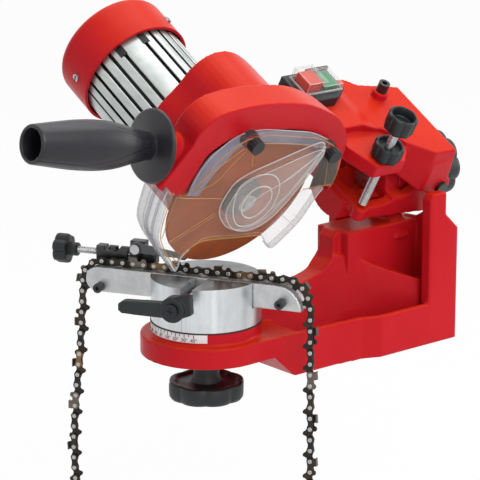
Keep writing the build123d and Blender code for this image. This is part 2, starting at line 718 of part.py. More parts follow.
def inner_flange():
    body = on_axis(19, SHAFT_R, WHEEL_W[1], WHEEL_W[1] + 5)
    body += on_axis(ARBOR_R, SHAFT_R, WHEEL_W[0] + 0.2, WHEEL_W[1] + 1)
    return body + on_axis(9, SHAFT_R, WHEEL_W[1] + 4, -6)


def outer_flange():
    return on_axis(19, SHAFT_R, WHEEL_W[0] - 4.2, WHEEL_W[0])


def arbor_nut():
    nut = hex_bar(17, (WHEEL_X, WHEEL_W[0] - 11, WHEEL_Z), (0, 1, 0), 6.8)
    return nut - disc_y(SHAFT_R, WHEEL_X, WHEEL_Z, -60, 0)


def motor_shaft():
    return disc_y(SHAFT_R, WHEEL_X, WHEEL_Z, -38, FAN_Y[1] + 1)


def rotor_core():
    core = on_axis(26.5, SHAFT_R, 84, 146)
    return core + on_axis(24, SHAFT_R + 8, 78, 84) + on_axis(24, SHAFT_R + 8, 146, 152)


def cooling_fan():
    low, high = FAN_Y
    body = on_axis(9, SHAFT_R, low, high) + on_axis(38, 8, low, low + 1.6)
    for k in range(9):
        blade = Rot(0, 40 * k, 0) * box(8, 37, low + 1, high - 1, -0.8, 0.8)
        body += Pos(WHEEL_X, 0, WHEEL_Z) * blade
    return body


def motor_barrel():
    """Ribbed aluminium shell with narrow grooves and one wide flat land."""
    body = on_axis(BARREL_R, BARREL_IN, *BARREL_Y)
    groove = box(BARREL_R - 3.2, BARREL_R + 3, BARREL_Y[0] - 1, BARREL_Y[1] + 1, -1.2, 1.2)
    for k in range(28):
        if k % 7 == 2:
            continue
        body -= Pos(WHEEL_X, 0, WHEEL_Z) * (Rot(0, -360.0 / 28 * k, 0) * groove)
    for w, turn in CAP_SCREWS:
        body -= cap_screw_bar(1.9, w, turn, 30, BARREL_R + 6)
    return body


SCREW_W = CAP_Y[0] + 15.4
CAP_SCREWS = ((SCREW_W, 188.0), (SCREW_W, 57.0), (SCREW_W, 302.0))


def cap_screw_bar(radius, w, turn, r0, r1):
    a = math.radians(turn)
    way = Vector(math.cos(a), 0, math.sin(a))
    return rod(radius, Vector(WHEEL_X, w, WHEEL_Z) + way * r0, way, r1 - r0)


def motor_cap():
    low, high = CAP_Y
    body = disc_y(CAP_R, WHEEL_X, WHEEL_Z, low, high)
    body = fillet(body.edges().sort_by(Axis.Y)[-1], 9)
    body -= disc_y(CAP_R - 2.6, WHEEL_X, WHEEL_Z, low - 1, high - 9)
    body -= disc_y(CAP_R - 9, WHEEL_X, WHEEL_Z, low - 1, high - 3)
    for k in range(-3, 4):
        z = WHEEL_Z + 9 * k
        body -= box(WHEEL_X - 22, WHEEL_X + 22, high - 5, high + 1, z - 1.5, z + 1.5)
    for w, turn in CAP_SCREWS:
        pad = cap_screw_bar(5, w, turn, BARREL_R - 3, CAP_R - 1.5)
        body += pad - disc_y(BARREL_R, WHEEL_X, WHEEL_Z, low, high)
        body -= cap_screw_bar(1.9, w, turn, 30, 60)
        body -= cap_screw_bar(3.4, w, turn, CAP_R - 0.3, 60)
    return body


def cap_screws():
    made = []
    for w, turn in CAP_SCREWS:
        head = cap_screw_bar(3.4, w, turn, CAP_R - 0.3, CAP_R + 1.9)
        made.append(cap_screw_bar(1.9, w, turn, BARREL_R - 4, CAP_R) + head)
    return made


def stator_core():
    body = on_axis(BARREL_IN, 27.2, 84, 146)
    for k in range(12):
        slot = box(30, 37.5, 80, 150, -2.6, 2.6)
        body -= Pos(WHEEL_X, 0, WHEEL_Z) * (Rot(0, 30 * k, 0) * slot)
    return body


def stator_windings():
    made = []
    for y0, y1 in ((72, 83.9), (146.1, 158)):
        made.append(on_axis(39.5, 29.5, y0, y1))
    return made


def rear_shield():
    body = on_axis(BARREL_IN, REAR_BRG[2], REAR_BRG[0], REAR_BRG[1])
    slot = box(20, 36, REAR_BRG[0] - 2, REAR_BRG[1] + 2, -5, 5)
    for k in range(6):
        body -= Pos(WHEEL_X, 0, WHEEL_Z) * (Rot(0, 60 * k, 0) * slot)
    return body


def bearing(spec):
    y0, y1, outer = spec
    body = on_axis(outer, SHAFT_R + RUN, y0, y1)
    body -= on_axis(outer - 3, SHAFT_R + 3, y0 - 0.1, y0 + 0.8)
    return body - on_axis(outer - 3, SHAFT_R + 3, y1 - 0.8, y1 + 0.1)


def capacitor():
    return rod(11, (18, HUMP_Y[0] + 6, 98), (0, 1, 0), 42) + rod(3, (18, 45, 98), (0, 1, 0), 6)


def terminal_block():
    body = box(40, 62, HUMP_Y[0] + 6, 44, 70, 82)
    for k in range(3):
        body -= rod(1.6, (46 + 5 * k, 22, 78), (0, 0, 1), 6)
        body -= rod(1.6, (46 + 5 * k, 38, 78), (0, 0, 1), 6)
    return body


# ---------- handle ----------
def along_handle(distance):
    return HANDLE_AT + HANDLE_DIR * distance


def handle_grip():
    radii = [(5, 12), (14, 12.8), (26, 15.4), (44, 19.2), (62, 20.5), (84, 19.8), (104, 17.8), (120, 16.0)]
    plan = Polyline((0, 0), (FLANGE_R, 0), (FLANGE_R, 3), (FLANGE_R - 2.5, 4.2), (12, 5))
    side = Spline((12, 5), *[(r, d) for d, r in radii[1:]], tangents=((0, 1), (0.05, 1)))
    close = Polyline(side @ 1, (15, GRIP_L), (12.6, GRIP_L), (12.2, 40), (0, 40), (0, 0))
    face = make_face(Wire([plan.edges()[k] for k in range(4)] + [side] + close.edges()))
    solid = revolve(Plane.XZ * face, Axis.Z)
    solid -= rod(4, (0, 0, -1), (0, 0, 1), 60)
    return Plane(origin=HANDLE_AT, z_dir=HANDLE_DIR) * solid


def handle_stud():
    body = rod(4, along_handle(-25), HANDLE_DIR, 66)
    return body + hex_bar(13, along_handle(40.1), HANDLE_DIR, 6)


# ---------- switch ----------
def switch_housing():
    x0, x1 = SWITCH_X
    y0, y1 = SWITCH_Y
    plan = poly([(x0, y0 + 3), (x0 + 3, y0), (x1 - 14, y0), (x1, y0 + 9), (x1, y1), (x0, y1)])
    body = slab_z(plan, ARM_TOP, 76)
    body += box(x0 + 5.3, x1 - 6.3, y0 + 10.3, y1 - 5.3, 58, ARM_TOP + 1)
    body += box(x0 + 26, x1, y1 - 2.6, y1, 75, 80)
    for a, b in BUTTON_X:
        body -= box(a - GAP, b + GAP, BUTTON_Y[0] - GAP, BUTTON_Y[1] + GAP, 62, 90)
    return body


def button(span, top):
    body = box(span[0], span[1], BUTTON_Y[0], BUTTON_Y[1], 70, top)
    edges = body.edges().filter_by(Axis.Z) + body.faces().sort_by(Axis.Z)[-1].edges()
    return fillet(edges, 1.0)


def splash_cover():
    (a0, a1), (b0, b1) = BUTTON_X
    y0, y1 = BUTTON_Y
    middle = (a1 + b0) / 2
    high, low = BUTTON_TOP[0] + 3, BUTTON_TOP[1] + 3
    outer = box(a0 - 2.5, middle, y0 - 2.5, y1 + 2.5, 76, high)
    outer += box(a0 - 2.5, b1 + 2.5, y0 - 2.5, y1 + 2.5, 76, low)
    outer += box(a0 - 3.5, b1 + 3.5, y0 - 3.5, y1 + 3.5, 76, 77.2)
    inner = box(a0 - 1.5, middle - 1, y0 - 1.5, y1 + 1.5, 75, high - 1)
    inner += box(a0 - 1.5, b1 + 1.5, y0 - 1.5, y1 + 1.5, 75, low - 1)
    return outer - inner


def contact_block():
    return box(112, 148, 43, 61, 50, 58) + box(117, 121, 46, 56, 44, 50) + box(138, 142, 46, 56, 44, 50)


# ---------- depth stop ----------
def depth_screw():
    return rod(ROD_R, (ROD_X, ROD_Y, ROD_LOW), (0, 0, 1), 98)


def depth_knob():
    plan = lobed(13.8, 7, 1.4)
    body = Pos(ROD_X, ROD_Y, 0) * slab_z(plan, 90, 107)
    body -= rod(10.4, (ROD_X, ROD_Y, 98), (0, 0, 1), 20)
    body += rod(6.5, (ROD_X, ROD_Y, 86), (0, 0, 1), 16)
    return body - rod(ROD_R + RUN, (ROD_X, ROD_Y, 80), (0, 0, 1), 30)


def lock_knob():
    plan = lobed(14.2, 7, 1.4)
    body = Pos(ROD_X, ROD_Y, 0) * slab_z(plan, LUG_Z[1] + 1.0, LUG_Z[1] + 16)
    body -= rod(10.4, (ROD_X, ROD_Y, LUG_Z[1] + 11), (0, 0, 1), 20)
    return body - rod(ROD_R + RUN, (ROD_X, ROD_Y, 50), (0, 0, 1), 40)


def arm_cap_screw():
    body = rod(3, (200, 35, 57), (0, 0, 1), 14) + rod(5.2, (200, 35, 70), (0, 0, 1), 9)
    return body - hex_bar(5, (200, 35, 75), (0, 0, 1), 6)


# ---------- write every node ----------
save("base_casting", base_casting())
save("angle_scale", angle_scale())
save("turntable", turntable(), VISE)
save("table_spindle", table_spindle(), VISE)
save("table_knob", table_knob())
save("rail_fixed", rail_fixed(), VISE)
save("rail_moving", rail_moving(), VISE)
save_many("rail_screws", rail_screws(), VISE)
save("clamp_shaft", clamp_shaft(), VISE)
save("clamp_lever", clamp_lever(), VISE)
save("lever_screw", lever_screw(), VISE)
save("stop_holder", stop_holder(), VISE)
save("stop_rod", stop_rod(), VISE)
save("stop_knob", stop_knob(), VISE)
save("stop_carrier", stop_carrier(), VISE)
save("pawl", pawl(), VISE)
save("pawl_bolt", pawl_bolt(), VISE)
DRIVES, STRAPS, CUTTERS, RIVET_SET = chain_nodes()
save_many("drive_links", DRIVES, VISE)
save_many("tie_straps", STRAPS, VISE)
save_many("cutters", CUTTERS, VISE)
save_many("chain_rivets", RIVET_SET, VISE)
save("saddle", saddle(), HEAD)
save_many("pivot_pin", [pivot_pin(), pin_clip()], HEAD)
save("return_spring", return_spring(), HEAD)
save("tilt_bolt", tilt_bolt(), HEAD)
save("tilt_washer", tilt_washer(), HEAD)
save("tilt_knob", tilt_knob(), HEAD)
save("head_arm", head_arm(), HEAD)
save("wheel_guard", wheel_guard(), HEAD)
save("clear_cover", clear_cover(), HEAD)
save("lower_window", lower_window(), HEAD)
save_many("cover_studs", cover_studs(), HEAD)
save_many("thumb_nuts", thumb_nuts(), HEAD)
save("grinding_wheel", grinding_wheel(), HEAD)
save_many("wheel_flanges", [inner_flange(), outer_flange()], HEAD)
save("arbor_nut", arbor_nut(), HEAD)
save("motor_shaft", motor_shaft(), HEAD)
save("rotor_core", rotor_core(), HEAD)
save("cooling_fan", cooling_fan(), HEAD)
save("motor_barrel", motor_barrel(), HEAD)
save("motor_cap", motor_cap(), HEAD)
save_many("cap_screws", cap_screws(), HEAD)
save("stator_core", stator_core(), HEAD)
save_many("stator_windings", stator_windings(), HEAD)
save("rear_shield", rear_shield(), HEAD)
save_many("shaft_bearings", [bearing(FRONT_BRG), bearing(REAR_BRG)], HEAD)
save("capacitor", capacitor(), HEAD)
save("terminal_block", terminal_block(), HEAD)
save("handle_grip", handle_grip(), HEAD)
save("handle_stud", handle_stud(), HEAD)
save("switch_housing", switch_housing(), HEAD)
save("stop_button", button(BUTTON_X[0], BUTTON_TOP[0]), HEAD)
save("start_button", button(BUTTON_X[1], BUTTON_TOP[1]), HEAD)
save("splash_cover", splash_cover(), HEAD)
save("contact_block", contact_block(), HEAD)
save("depth_screw", depth_screw(), HEAD)
save("depth_knob", depth_knob(), HEAD)
save("lock_knob", lock_knob(), HEAD)
save("arm_cap_screw", arm_cap_screw(), HEAD)
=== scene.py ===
import bpy
import bmesh
import json
import math
from mathutils import Vector, Matrix


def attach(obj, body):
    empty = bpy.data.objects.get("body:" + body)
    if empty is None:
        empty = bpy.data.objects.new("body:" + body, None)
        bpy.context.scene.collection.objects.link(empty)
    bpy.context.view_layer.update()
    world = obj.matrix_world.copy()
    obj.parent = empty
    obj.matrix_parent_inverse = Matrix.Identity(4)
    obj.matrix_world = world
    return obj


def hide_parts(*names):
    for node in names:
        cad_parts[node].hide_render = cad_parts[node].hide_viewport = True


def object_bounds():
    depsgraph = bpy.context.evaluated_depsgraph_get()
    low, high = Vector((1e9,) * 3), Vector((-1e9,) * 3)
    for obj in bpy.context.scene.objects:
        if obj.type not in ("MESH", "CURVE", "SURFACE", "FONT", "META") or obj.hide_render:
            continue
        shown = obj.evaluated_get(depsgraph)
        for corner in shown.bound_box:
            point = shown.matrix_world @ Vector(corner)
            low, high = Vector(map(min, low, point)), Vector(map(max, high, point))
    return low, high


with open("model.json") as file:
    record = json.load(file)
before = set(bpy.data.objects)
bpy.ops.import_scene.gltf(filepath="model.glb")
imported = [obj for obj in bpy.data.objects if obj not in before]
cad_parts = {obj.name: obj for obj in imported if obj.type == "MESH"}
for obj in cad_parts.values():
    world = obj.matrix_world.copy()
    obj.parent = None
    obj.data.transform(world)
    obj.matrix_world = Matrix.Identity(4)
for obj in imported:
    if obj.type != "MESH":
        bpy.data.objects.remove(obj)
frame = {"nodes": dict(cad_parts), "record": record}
CAD_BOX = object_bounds()
NODES = frame["nodes"]

# ------------------------------------------------------------------ frames
# Millimetre sizes are written about the turntable axis (T), square to the
# tilted head (H: x, motor axis, up) or along the chain rails (V).
TABLE_X = 125.0                           # table axis to the row's origin
TILT, TILT_Z = math.radians(30), 146.0    # tilt of the head and height of its hinge
TURN = math.radians(-60)                  # heading of the chain rails
WHEEL = (5.0, 37.2)                       # x and up of the motor axis in the head
FINE = 1.0


def T(x, y, z):
    """Point about the table axis."""
    return Vector(((x - TABLE_X) / 1000, y / 1000, z / 1000))


def H(x, w, u):
    """Point in the tilted head."""
    c, s = math.cos(TILT), math.sin(TILT)
    return T(x, w * c - u * s, TILT_Z + w * s + u * c)


def V(t, y, z):
    """Point along and across the chain rails."""
    c, s = math.cos(TURN), math.sin(TURN)
    return T(t * c - y * s, t * s + y * c, z)


# --------------------------------------------------------------- materials
def lin(c):
    """sRGB 0 to 255 to a linear colour."""
    out = []
    for v in c:
        v /= 255.0
        out.append(v / 12.92 if v <= 0.04045 else ((v + 0.055) / 1.055) ** 2.4)
    return tuple(out) + (1.0,)


def add(tree, kind, **values):
    """New node; each value is a property, or else an input's default."""
    n = tree.nodes.new(kind)
    for k, v in values.items():
        if hasattr(n, k):
            setattr(n, k, v)
        else:
            n.inputs[k.replace("_", " ")].default_value = v
    return n


class Mat:
    """Small helper that wires a procedural material."""

    def __init__(self, name):
        self.m = bpy.data.materials.new(name)
        self.m.use_nodes = True
        self.t = self.m.node_tree
        self.b = next(n for n in self.t.nodes if n.type == "BSDF_PRINCIPLED")
        self.co = self.new("ShaderNodeTexCoord")

    def new(self, kind, **values):
        return add(self.t, kind, **values)

    def link(self, a, b):
        self.t.links.new(a, b)

    def set(self, **values):
        for k, v in values.items():
            self.b.inputs[k.replace("_", " ")].default_value = v
        return self

    def noise(self, scale, detail=4.0, rough=0.55, stretch=None):
        n = self.new("ShaderNodeTexNoise", Scale=scale, Detail=detail, Roughness=rough)
        if stretch:
            mp = self.new("ShaderNodeMapping", Scale=stretch)
            self.link(self.co.outputs["Object"], mp.inputs["Vector"])
            self.link(mp.outputs["Vector"], n.inputs["Vector"])
        else:
            self.link(self.co.outputs["Object"], n.inputs["Vector"])
        return n.outputs["Fac"]

    def ramp(self, fac, stops):
        r = self.new("ShaderNodeValToRGB")
        el = r.color_ramp.elements
        el[0].position, el[0].color = stops[0]
        el[1].position, el[1].color = stops[-1]
        for p, c in stops[1:-1]:
            e = el.new(p)
            e.color = c
        self.link(fac, r.inputs["Fac"])
        return r.outputs["Color"]

    def range(self, fac, lo, hi, a=0.0, b=1.0):
        r = self.new("ShaderNodeMapRange", From_Min=a, From_Max=b, To_Min=lo, To_Max=hi)
        self.link(fac, r.inputs["Value"])
        return r.outputs["Result"]

    def bump(self, height, strength, distance=0.001, radius=0.0):
        n = self.new("ShaderNodeBump", Strength=strength, Distance=distance)
        self.link(height, n.inputs["Height"])
        if radius:
            bev = self.new("ShaderNodeBevel", samples=4, Radius=radius)
            self.link(bev.outputs["Normal"], n.inputs["Normal"])
        self.link(n.outputs["Normal"], self.b.inputs["Normal"])
        return self


def red_paint(name="red_paint"):
    """Gloss red paint with painted light: faces that point up get a warmer, lighter red than the sides."""
    m = Mat(name)
    side = m.ramp(m.noise(14, 3), [(0.25, lin((188, 22, 32))), (0.75, lin((199, 28, 38)))])
    # Painted light: the warmer, lighter red for up-facing faces stands in for the light falling on them
    # from above.
    top = m.ramp(m.noise(22, 3), [(0.25, lin((204, 40, 20))), (0.75, lin((213, 50, 25)))])
    axes = m.new("ShaderNodeSeparateXYZ")
    m.link(m.co.outputs["Normal"], axes.inputs[0])
    mix = m.new("ShaderNodeMix", data_type="RGBA")
    m.link(m.range(axes.outputs["Z"], 0.0, 1.0, 0.35, 0.9), mix.inputs["Factor"])
    m.link(side, mix.inputs[6])
    m.link(top, mix.inputs[7])
    m.link(mix.outputs[2], m.b.inputs["Base Color"])
    m.link(m.range(m.noise(60, 5), 0.26, 0.40), m.b.inputs["Roughness"])
    m.set(Specular_IOR_Level=0.10)
    m.bump(m.noise(420, 6, 0.6), 0.07, 0.0005, 0.0006)
    return m.m


def silver(name, tint, rough=(0.26, 0.42), stretch=None, bump=0.12, metallic=1.0, top=1.0):
    """Mottled metal; top below 1 paints shade on what faces up, darker in a mottle."""
    m = Mat(name)
    n = m.noise(180, 6, 0.6, stretch)
    big = m.noise(35, 4, 0.6)
    tone = m.ramp(n, [(0.3, lin([c * 0.90 for c in tint])), (0.7, lin(tint))])
    mix = m.new("ShaderNodeMix", data_type="RGBA")
    m.link(m.range(big, 0.0, 0.55, 0.42, 0.68), mix.inputs["Factor"])
    m.link(tone, mix.inputs[6])
    mix.inputs[7].default_value = lin([c * 0.84 for c in tint])
    tone = mix.outputs[2]
    # Painted shade: faces that point up are multiplied darker, through a noisy ramp.
    if top < 1.0:
        axes = m.new("ShaderNodeSeparateXYZ")
        m.link(m.co.outputs["Normal"], axes.inputs[0])
        shade = m.new("ShaderNodeMix", data_type="RGBA", blend_type="MULTIPLY")
        m.link(m.range(axes.outputs["Z"], 0.0, 1.0, 0.6, 0.9), shade.inputs["Factor"])
        m.link(tone, shade.inputs[6])
        low, high = top ** 2.2 * 0.7, min(1.0, top ** 2.2 * 1.35)
        stops = [(0.38, (low, low, low, 1)), (0.62, (high, high, high, 1))]
        m.link(m.ramp(m.noise(42, 6, 0.65), stops), shade.inputs[7])
        tone = shade.outputs[2]
    m.link(tone, m.b.inputs["Base Color"])
    m.link(m.range(m.noise(90, 5, 0.6, stretch), *rough), m.b.inputs["Roughness"])
    m.set(Metallic=metallic)
    m.bump(n, bump, 0.0004, 0.0004)
    return m.m


def plastic(name, rgb, rough=(0.38, 0.52), bump=0.12, scale=700, edge=0.0006, spec=0.4):
    """Grained plastic or print."""
    m = Mat(name)
    n = m.noise(30, 4)
    low, high = [c * 0.9 for c in rgb], [min(255, c * 1.08) for c in rgb]
    m.link(m.ramp(n, [(0.3, lin(low)), (0.7, lin(high))]), m.b.inputs["Base Color"])
    m.link(m.range(m.noise(120, 5), *rough), m.b.inputs["Roughness"])
    m.set(Specular_IOR_Level=spec)
    m.bump(m.noise(scale, 3, 0.5), bump, 0.0003, edge)
    return m.m


def clear(name, rgb, face, rim, rough=(0.05, 0.1), blend=0.35):
    """Clear moulded sheet: thin where seen square on, denser along its edges."""
    m = Mat(name)
    tone = m.ramp(m.noise(40, 3), [(0.3, lin([c * 0.93 for c in rgb])), (0.7, lin(rgb))])
    m.link(tone, m.b.inputs["Base Color"])
    lw = m.new("ShaderNodeLayerWeight", Blend=blend)
    m.link(m.range(lw.outputs["Facing"], face, rim, 0.05, 0.95), m.b.inputs["Alpha"])
    m.link(m.range(m.noise(50, 3), *rough), m.b.inputs["Roughness"])
    m.set(Specular_IOR_Level=0.5)
    m.bump(m.noise(45, 2, 0.4), 0.05, 0.0006)
    return m.m


MATS = {
    "red_paint": red_paint(),
    # silver_cast: top 0.86 paints light shade on its up-facing faces.
    "silver_cast": silver("silver_cast", (206, 208, 209), (0.30, 0.46), None, 0.16, 0.75, 0.86),
    "barrel_metal": silver("barrel_metal", (200, 206, 203), (0.30, 0.42), (1, 0.12, 1), 0.10, 0.8),
    "black_plastic": plastic("black_plastic", (30, 35, 37)),
    "black_steel": plastic("black_steel", (28, 29, 32), (0.3, 0.42), 0.05, 300, 0.0004, 0.6),
    "bright_steel": silver("bright_steel", (200, 200, 202), (0.18, 0.32), None, 0.05, 0.9),
    "chain_steel": silver("chain_steel", (50, 46, 43), (0.32, 0.50), None, 0.25, 0.75),
    "cutter_steel": silver("cutter_steel", (112, 104, 94), (0.24, 0.42), None, 0.18, 0.9),
    "abrasive": plastic("abrasive", (158, 82, 48), (0.8, 0.95), 0.7, 900, 0.0, 0.15),
    "clear_plastic": clear("clear_plastic", (236, 235, 233), 0.02, 0.3, (0.05, 0.1), 0.2),
    "scale_white": plastic("scale_white", (238, 238, 236), (0.4, 0.5), 0.02),
    "button_red": plastic("button_red", (208, 66, 46), (0.3, 0.4), 0.02, 300, spec=0.15),
    "button_green": plastic("button_green", (14, 138, 80), (0.3, 0.4), 0.02, 300, spec=0.15),
    "copper": silver("copper", (170, 92, 50), (0.25, 0.4), None, 0.3),
    "core_steel": silver("core_steel", (120, 120, 122), (0.3, 0.5), (1, 8, 1), 0.3),
    "spring_steel": silver("spring_steel", (140, 140, 142), (0.25, 0.4)),
    "grey_plastic": plastic("grey_plastic", (110, 110, 112)),
}
# Painted shade: top 0.62 darkens the turntable's up-facing top.
TURNED = silver("turned_silver", (226, 230, 232), (0.24, 0.42), (1, 1, 0.12), 0.10, 0.9, 0.62)
LINER = plastic("liner_grey", (128, 128, 146), (0.45, 0.6), 0.06)
AMBER = clear("amber_edge", (214, 158, 92), 0.42, 0.85, (0.1, 0.2))
# Painted highlight: whitish, denser clear for the bright edges and lines of the clear cover pieces.
CLEAR_HIGHLIGHT = clear("clear_highlight", (238, 238, 238), 0.36, 0.9)
CLEAR_WALL = clear("clear_wall", (196, 198, 200), 0.16, 0.75, (0.05, 0.1), 0.3)
INK = plastic("print_black", (24, 24, 26), (0.5, 0.6), 0.02)
SLOT = {row["node"]: row["material_slot"] for row in frame["record"]["subparts"]}
BODY = {n: b for b, ns in frame["record"]["behaviour"]["bodies"].items() for n in ns}
for name, obj in NODES.items():
    obj.data.materials.clear()
    obj.data.materials.append(MATS[SLOT[name]])
NODES["turntable"].data.materials[0] = TURNED
NODES["wheel_flanges"].data.materials[0] = plastic("flange_grey", (72, 68, 64), (0.4, 0.5), 0.1)


# ----------------------------------------------------------- mesh building
def clamp(v):
    return min(1.0, max(0.0, v))


def place(name, me, mats, body, replaces=(), sharp=40.0):
    """Link a mesh as a piece of the model and give it its body."""
    ob = bpy.data.objects.new(name, me)
    bpy.context.scene.collection.objects.link(ob)
    me.materials.clear()
    for m in mats if isinstance(mats, (list, tuple)) else [mats]:
        me.materials.append(m)
    for p in me.polygons:
        p.use_smooth = True
    me.set_sharp_from_angle(angle=math.radians(sharp))
    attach(ob, body)
    if replaces:
        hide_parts(*replaces)
    return ob


def solid(verts, faces):
    """Mesh with its faces turned outward."""
    me = bpy.data.meshes.new("part")
    me.from_pydata([tuple(v) for v in verts], [], faces)
    bm = bmesh.new()
    bm.from_mesh(me)
    bmesh.ops.recalc_face_normals(bm, faces=bm.faces)
    bm.to_mesh(me)
    bm.free()
    me.update()
    return me


def through(data, *steps):
    """Mesh of some data after modifiers given as (kind, {setting: value})."""
    ob = bpy.data.objects.new("work", data)
    bpy.context.scene.collection.objects.link(ob)
    for i, (kind, values) in enumerate(steps):
        m = ob.modifiers.new("m%d" % i, kind)
        for k, v in values.items():
            setattr(m, k, v)
    deps = bpy.context.evaluated_depsgraph_get()
    out = bpy.data.meshes.new_from_object(ob.evaluated_get(deps))
    bpy.data.objects.remove(ob)
    return out


def cast(node, voxel=1.2, passes=6, keep=0.4, move=None, mat=None, extras=()):
    """Copy a CAD node with its edges softened like a casting or moulding."""
    bm = bmesh.new()
    bm.from_mesh(NODES[node].data)
    for verts, faces in extras:
        vs = [bm.verts.new(v) for v in verts]
        for f in faces:
            bm.faces.new([vs[i] for i in f])
    bmesh.ops.remove_doubles(bm, verts=bm.verts, dist=2e-5)
    src = bpy.data.meshes.new("src")
    bm.to_mesh(src)
    bm.free()
    me = through(src, ("REMESH", {"mode": "VOXEL", "voxel_size": voxel / 1000, "adaptivity": 0.0}),
                 ("SMOOTH", {"factor": 0.5, "iterations": passes}))
    if move:
        for v in me.vertices:
            v.co = move(v.co)
    if keep < 1:
        me = through(me, ("DECIMATE", {"ratio": keep}))
    mat = mat or MATS[SLOT[node]]
    return place(node + "_form", me, mat, BODY[node], [node], 55)


def lathe(name, profile, origin, axis, mat, body, replaces=(), segs=72, bend=None, sharp=40.0,
          zero=None):
    """Turned piece: (radius, height) pairs along an axis; bend shapes the radius by angle."""
    axis = axis.normalized()
    side = zero or axis.cross(Vector((0.31, 0.95, 0.05)))
    side = (side - axis * side.dot(axis)).normalized()
    other = axis.cross(side)
    verts, rows = [], []
    for r, h in profile:
        row = []
        if r < 1e-6:
            verts.append(origin + axis * (h / 1000))
            row = [len(verts) - 1] * segs
        else:
            for k in range(segs):
                a = 2 * math.pi * k / segs
                rr = (bend(a, r, h) if bend else r) / 1000
                verts.append(origin + axis * (h / 1000) + side * (rr * math.cos(a))
                             + other * (rr * math.sin(a)))
                row.append(len(verts) - 1)
        rows.append(row)
    faces = []
    for a, b in zip(rows, rows[1:]):
        for k in range(segs):
            n = (k + 1) % segs
            quad = [a[k], a[n], b[n], b[k]]
            face = [v for i, v in enumerate(quad) if v not in quad[:i]]
            if len(face) > 2:
                faces.append(face)
    return place(name, solid(verts, faces), mat, body, replaces, sharp)


def lobes(count, dip, start):
    """Scalloped rim of a hand knob for radii above start."""
    def bend(a, r, h):
        wave = 1 - abs(math.cos(count * a / 2)) ** 0.8
        return r - dip * wave * clamp((r - start) / 3)
    return bend


def slab(name, outline, w0, w1, mats, body, replaces=(), ease=0.4):
    """Flat outline in the head's x-u plane, raised from w0 to w1 with eased edges."""
    bm = bmesh.new()
    low = [bm.verts.new(H(x, w0, u)) for x, u in outline]
    high = [bm.verts.new(H(x, w1, u)) for x, u in outline]
    n = len(outline)
    bm.faces.new(low[::-1]).material_index = 0
    bm.faces.new(high).material_index = 0
    many = isinstance(mats, (list, tuple)) and len(mats) > 1
    for k in range(n):
        f = bm.faces.new((low[k], low[(k + 1) % n], high[(k + 1) % n], high[k]))
        f.material_index = 1 if many else 0
    bmesh.ops.recalc_face_normals(bm, faces=bm.faces)
    if ease:
        edges = [e for e in bm.edges if len(e.link_faces) == 2 and e.calc_face_angle(0) > 0.6]
        bmesh.ops.bevel(bm, geom=edges, offset=ease / 1000, segments=2, affect="EDGES", profile=0.5)
    me = bpy.data.meshes.new(name)
    bm.to_mesh(me)
    bm.free()
    return place(name, me, mats, body, replaces)


def strip(name, points, radius, mat, body, closed=False):
    """Raised bead that follows row-frame points."""
    cu = bpy.data.curves.new(name, "CURVE")
    cu.dimensions = "3D"
    cu.bevel_depth = radius / 1000
    cu.bevel_resolution = 2
    sp = cu.splines.new("POLY")
    sp.points.add(len(points) - 1)
    for p, v in zip(sp.points, points):
        p.co = (*v, 1)
    sp.use_cyclic_u = closed
    return place(name, through(cu), mat, body, ())


def smooth_line(points, steps=8, closed=False):
    """Catmull-Rom points through the given (x, u) pairs."""
    n = len(points)
    out = []
    for k in range(n if closed else n - 1):
        p = [points[(k + d) % n] if closed else points[min(max(k + d, 0), n - 1)] for d in (-1, 0, 1, 2)]
        for i in range(steps):
            t = i / steps
            out.append(tuple(0.5 * (2 * p[1][j] + (p[2][j] - p[0][j]) * t
                                    + (2 * p[0][j] - 5 * p[1][j] + 4 * p[2][j] - p[3][j]) * t * t
                                    + (3 * p[1][j] - p[0][j] - 3 * p[2][j] + p[3][j]) * t ** 3)
                             for j in (0, 1)))
    if not closed:
        out.append(tuple(points[-1]))
    return out


# ------------------------------------------------------------ red castings
def head_local(co):
    """Row frame to head millimetres."""
    c, s = math.cos(TILT), math.sin(TILT)
    y, z = co.y * 1000, co.z * 1000 - TILT_Z
    return co.x * 1000 + TABLE_X, y * c + z * s, -y * s + z * c


ARCH = (5, 37)             # middle of the wheel guard's arch
ARCH_TAPER = 0.034


def guard_taper(co):
    """The arch narrows a little towards the motor."""
    x, w, u = head_local(co)
    k = 1 - ARCH_TAPER * clamp((w + 30) / 30) * clamp((u - 60) / 30)
    return H(ARCH[0] + (x - ARCH[0]) * k, w, ARCH[1] + (u - ARCH[1]) * k)


def band(base, n):
    """Faces from the ring of n vertices at base to the next ring."""
    return [(base + k, base + (k + 1) % n, base + n + (k + 1) % n, base + n + k) for k in range(n)]


def prism(outline, ends, at):
    """Vertices and faces of an outline of pairs, run from one end to the other."""
    n = len(outline)
    verts = [at(end, p, q) for end in ends for p, q in outline]
    faces = [tuple(range(n)), tuple(range(2 * n - 1, n - 1, -1))]
    faces += [(k, k + n, (k + 1) % n + n, (k + 1) % n) for k in range(n)]
    return verts, faces


# Lips on the rear wall, one to each side of the saddle, as (y, z).
LIP = [(6, 102), (54, 102), (54, 124), (44, 120), (34, 115), (26, 110), (20, 106.5), (6, 105.5)]
LIP_X = (229.8, 234)
lips = [prism(LIP, LIP_X, lambda x, y, z, sign=sign: T(x, sign * y, z)) for sign in (-1, 1)]
cast("base_casting", 1.2 * FINE, 3, 0.35, extras=lips)
cast("head_arm", 1.1 * FINE, 4, 0.35)
cast("wheel_guard", 1.1 * FINE, 4, 0.4, guard_taper)
cast("saddle", 1.1 * FINE, 3, 0.4)
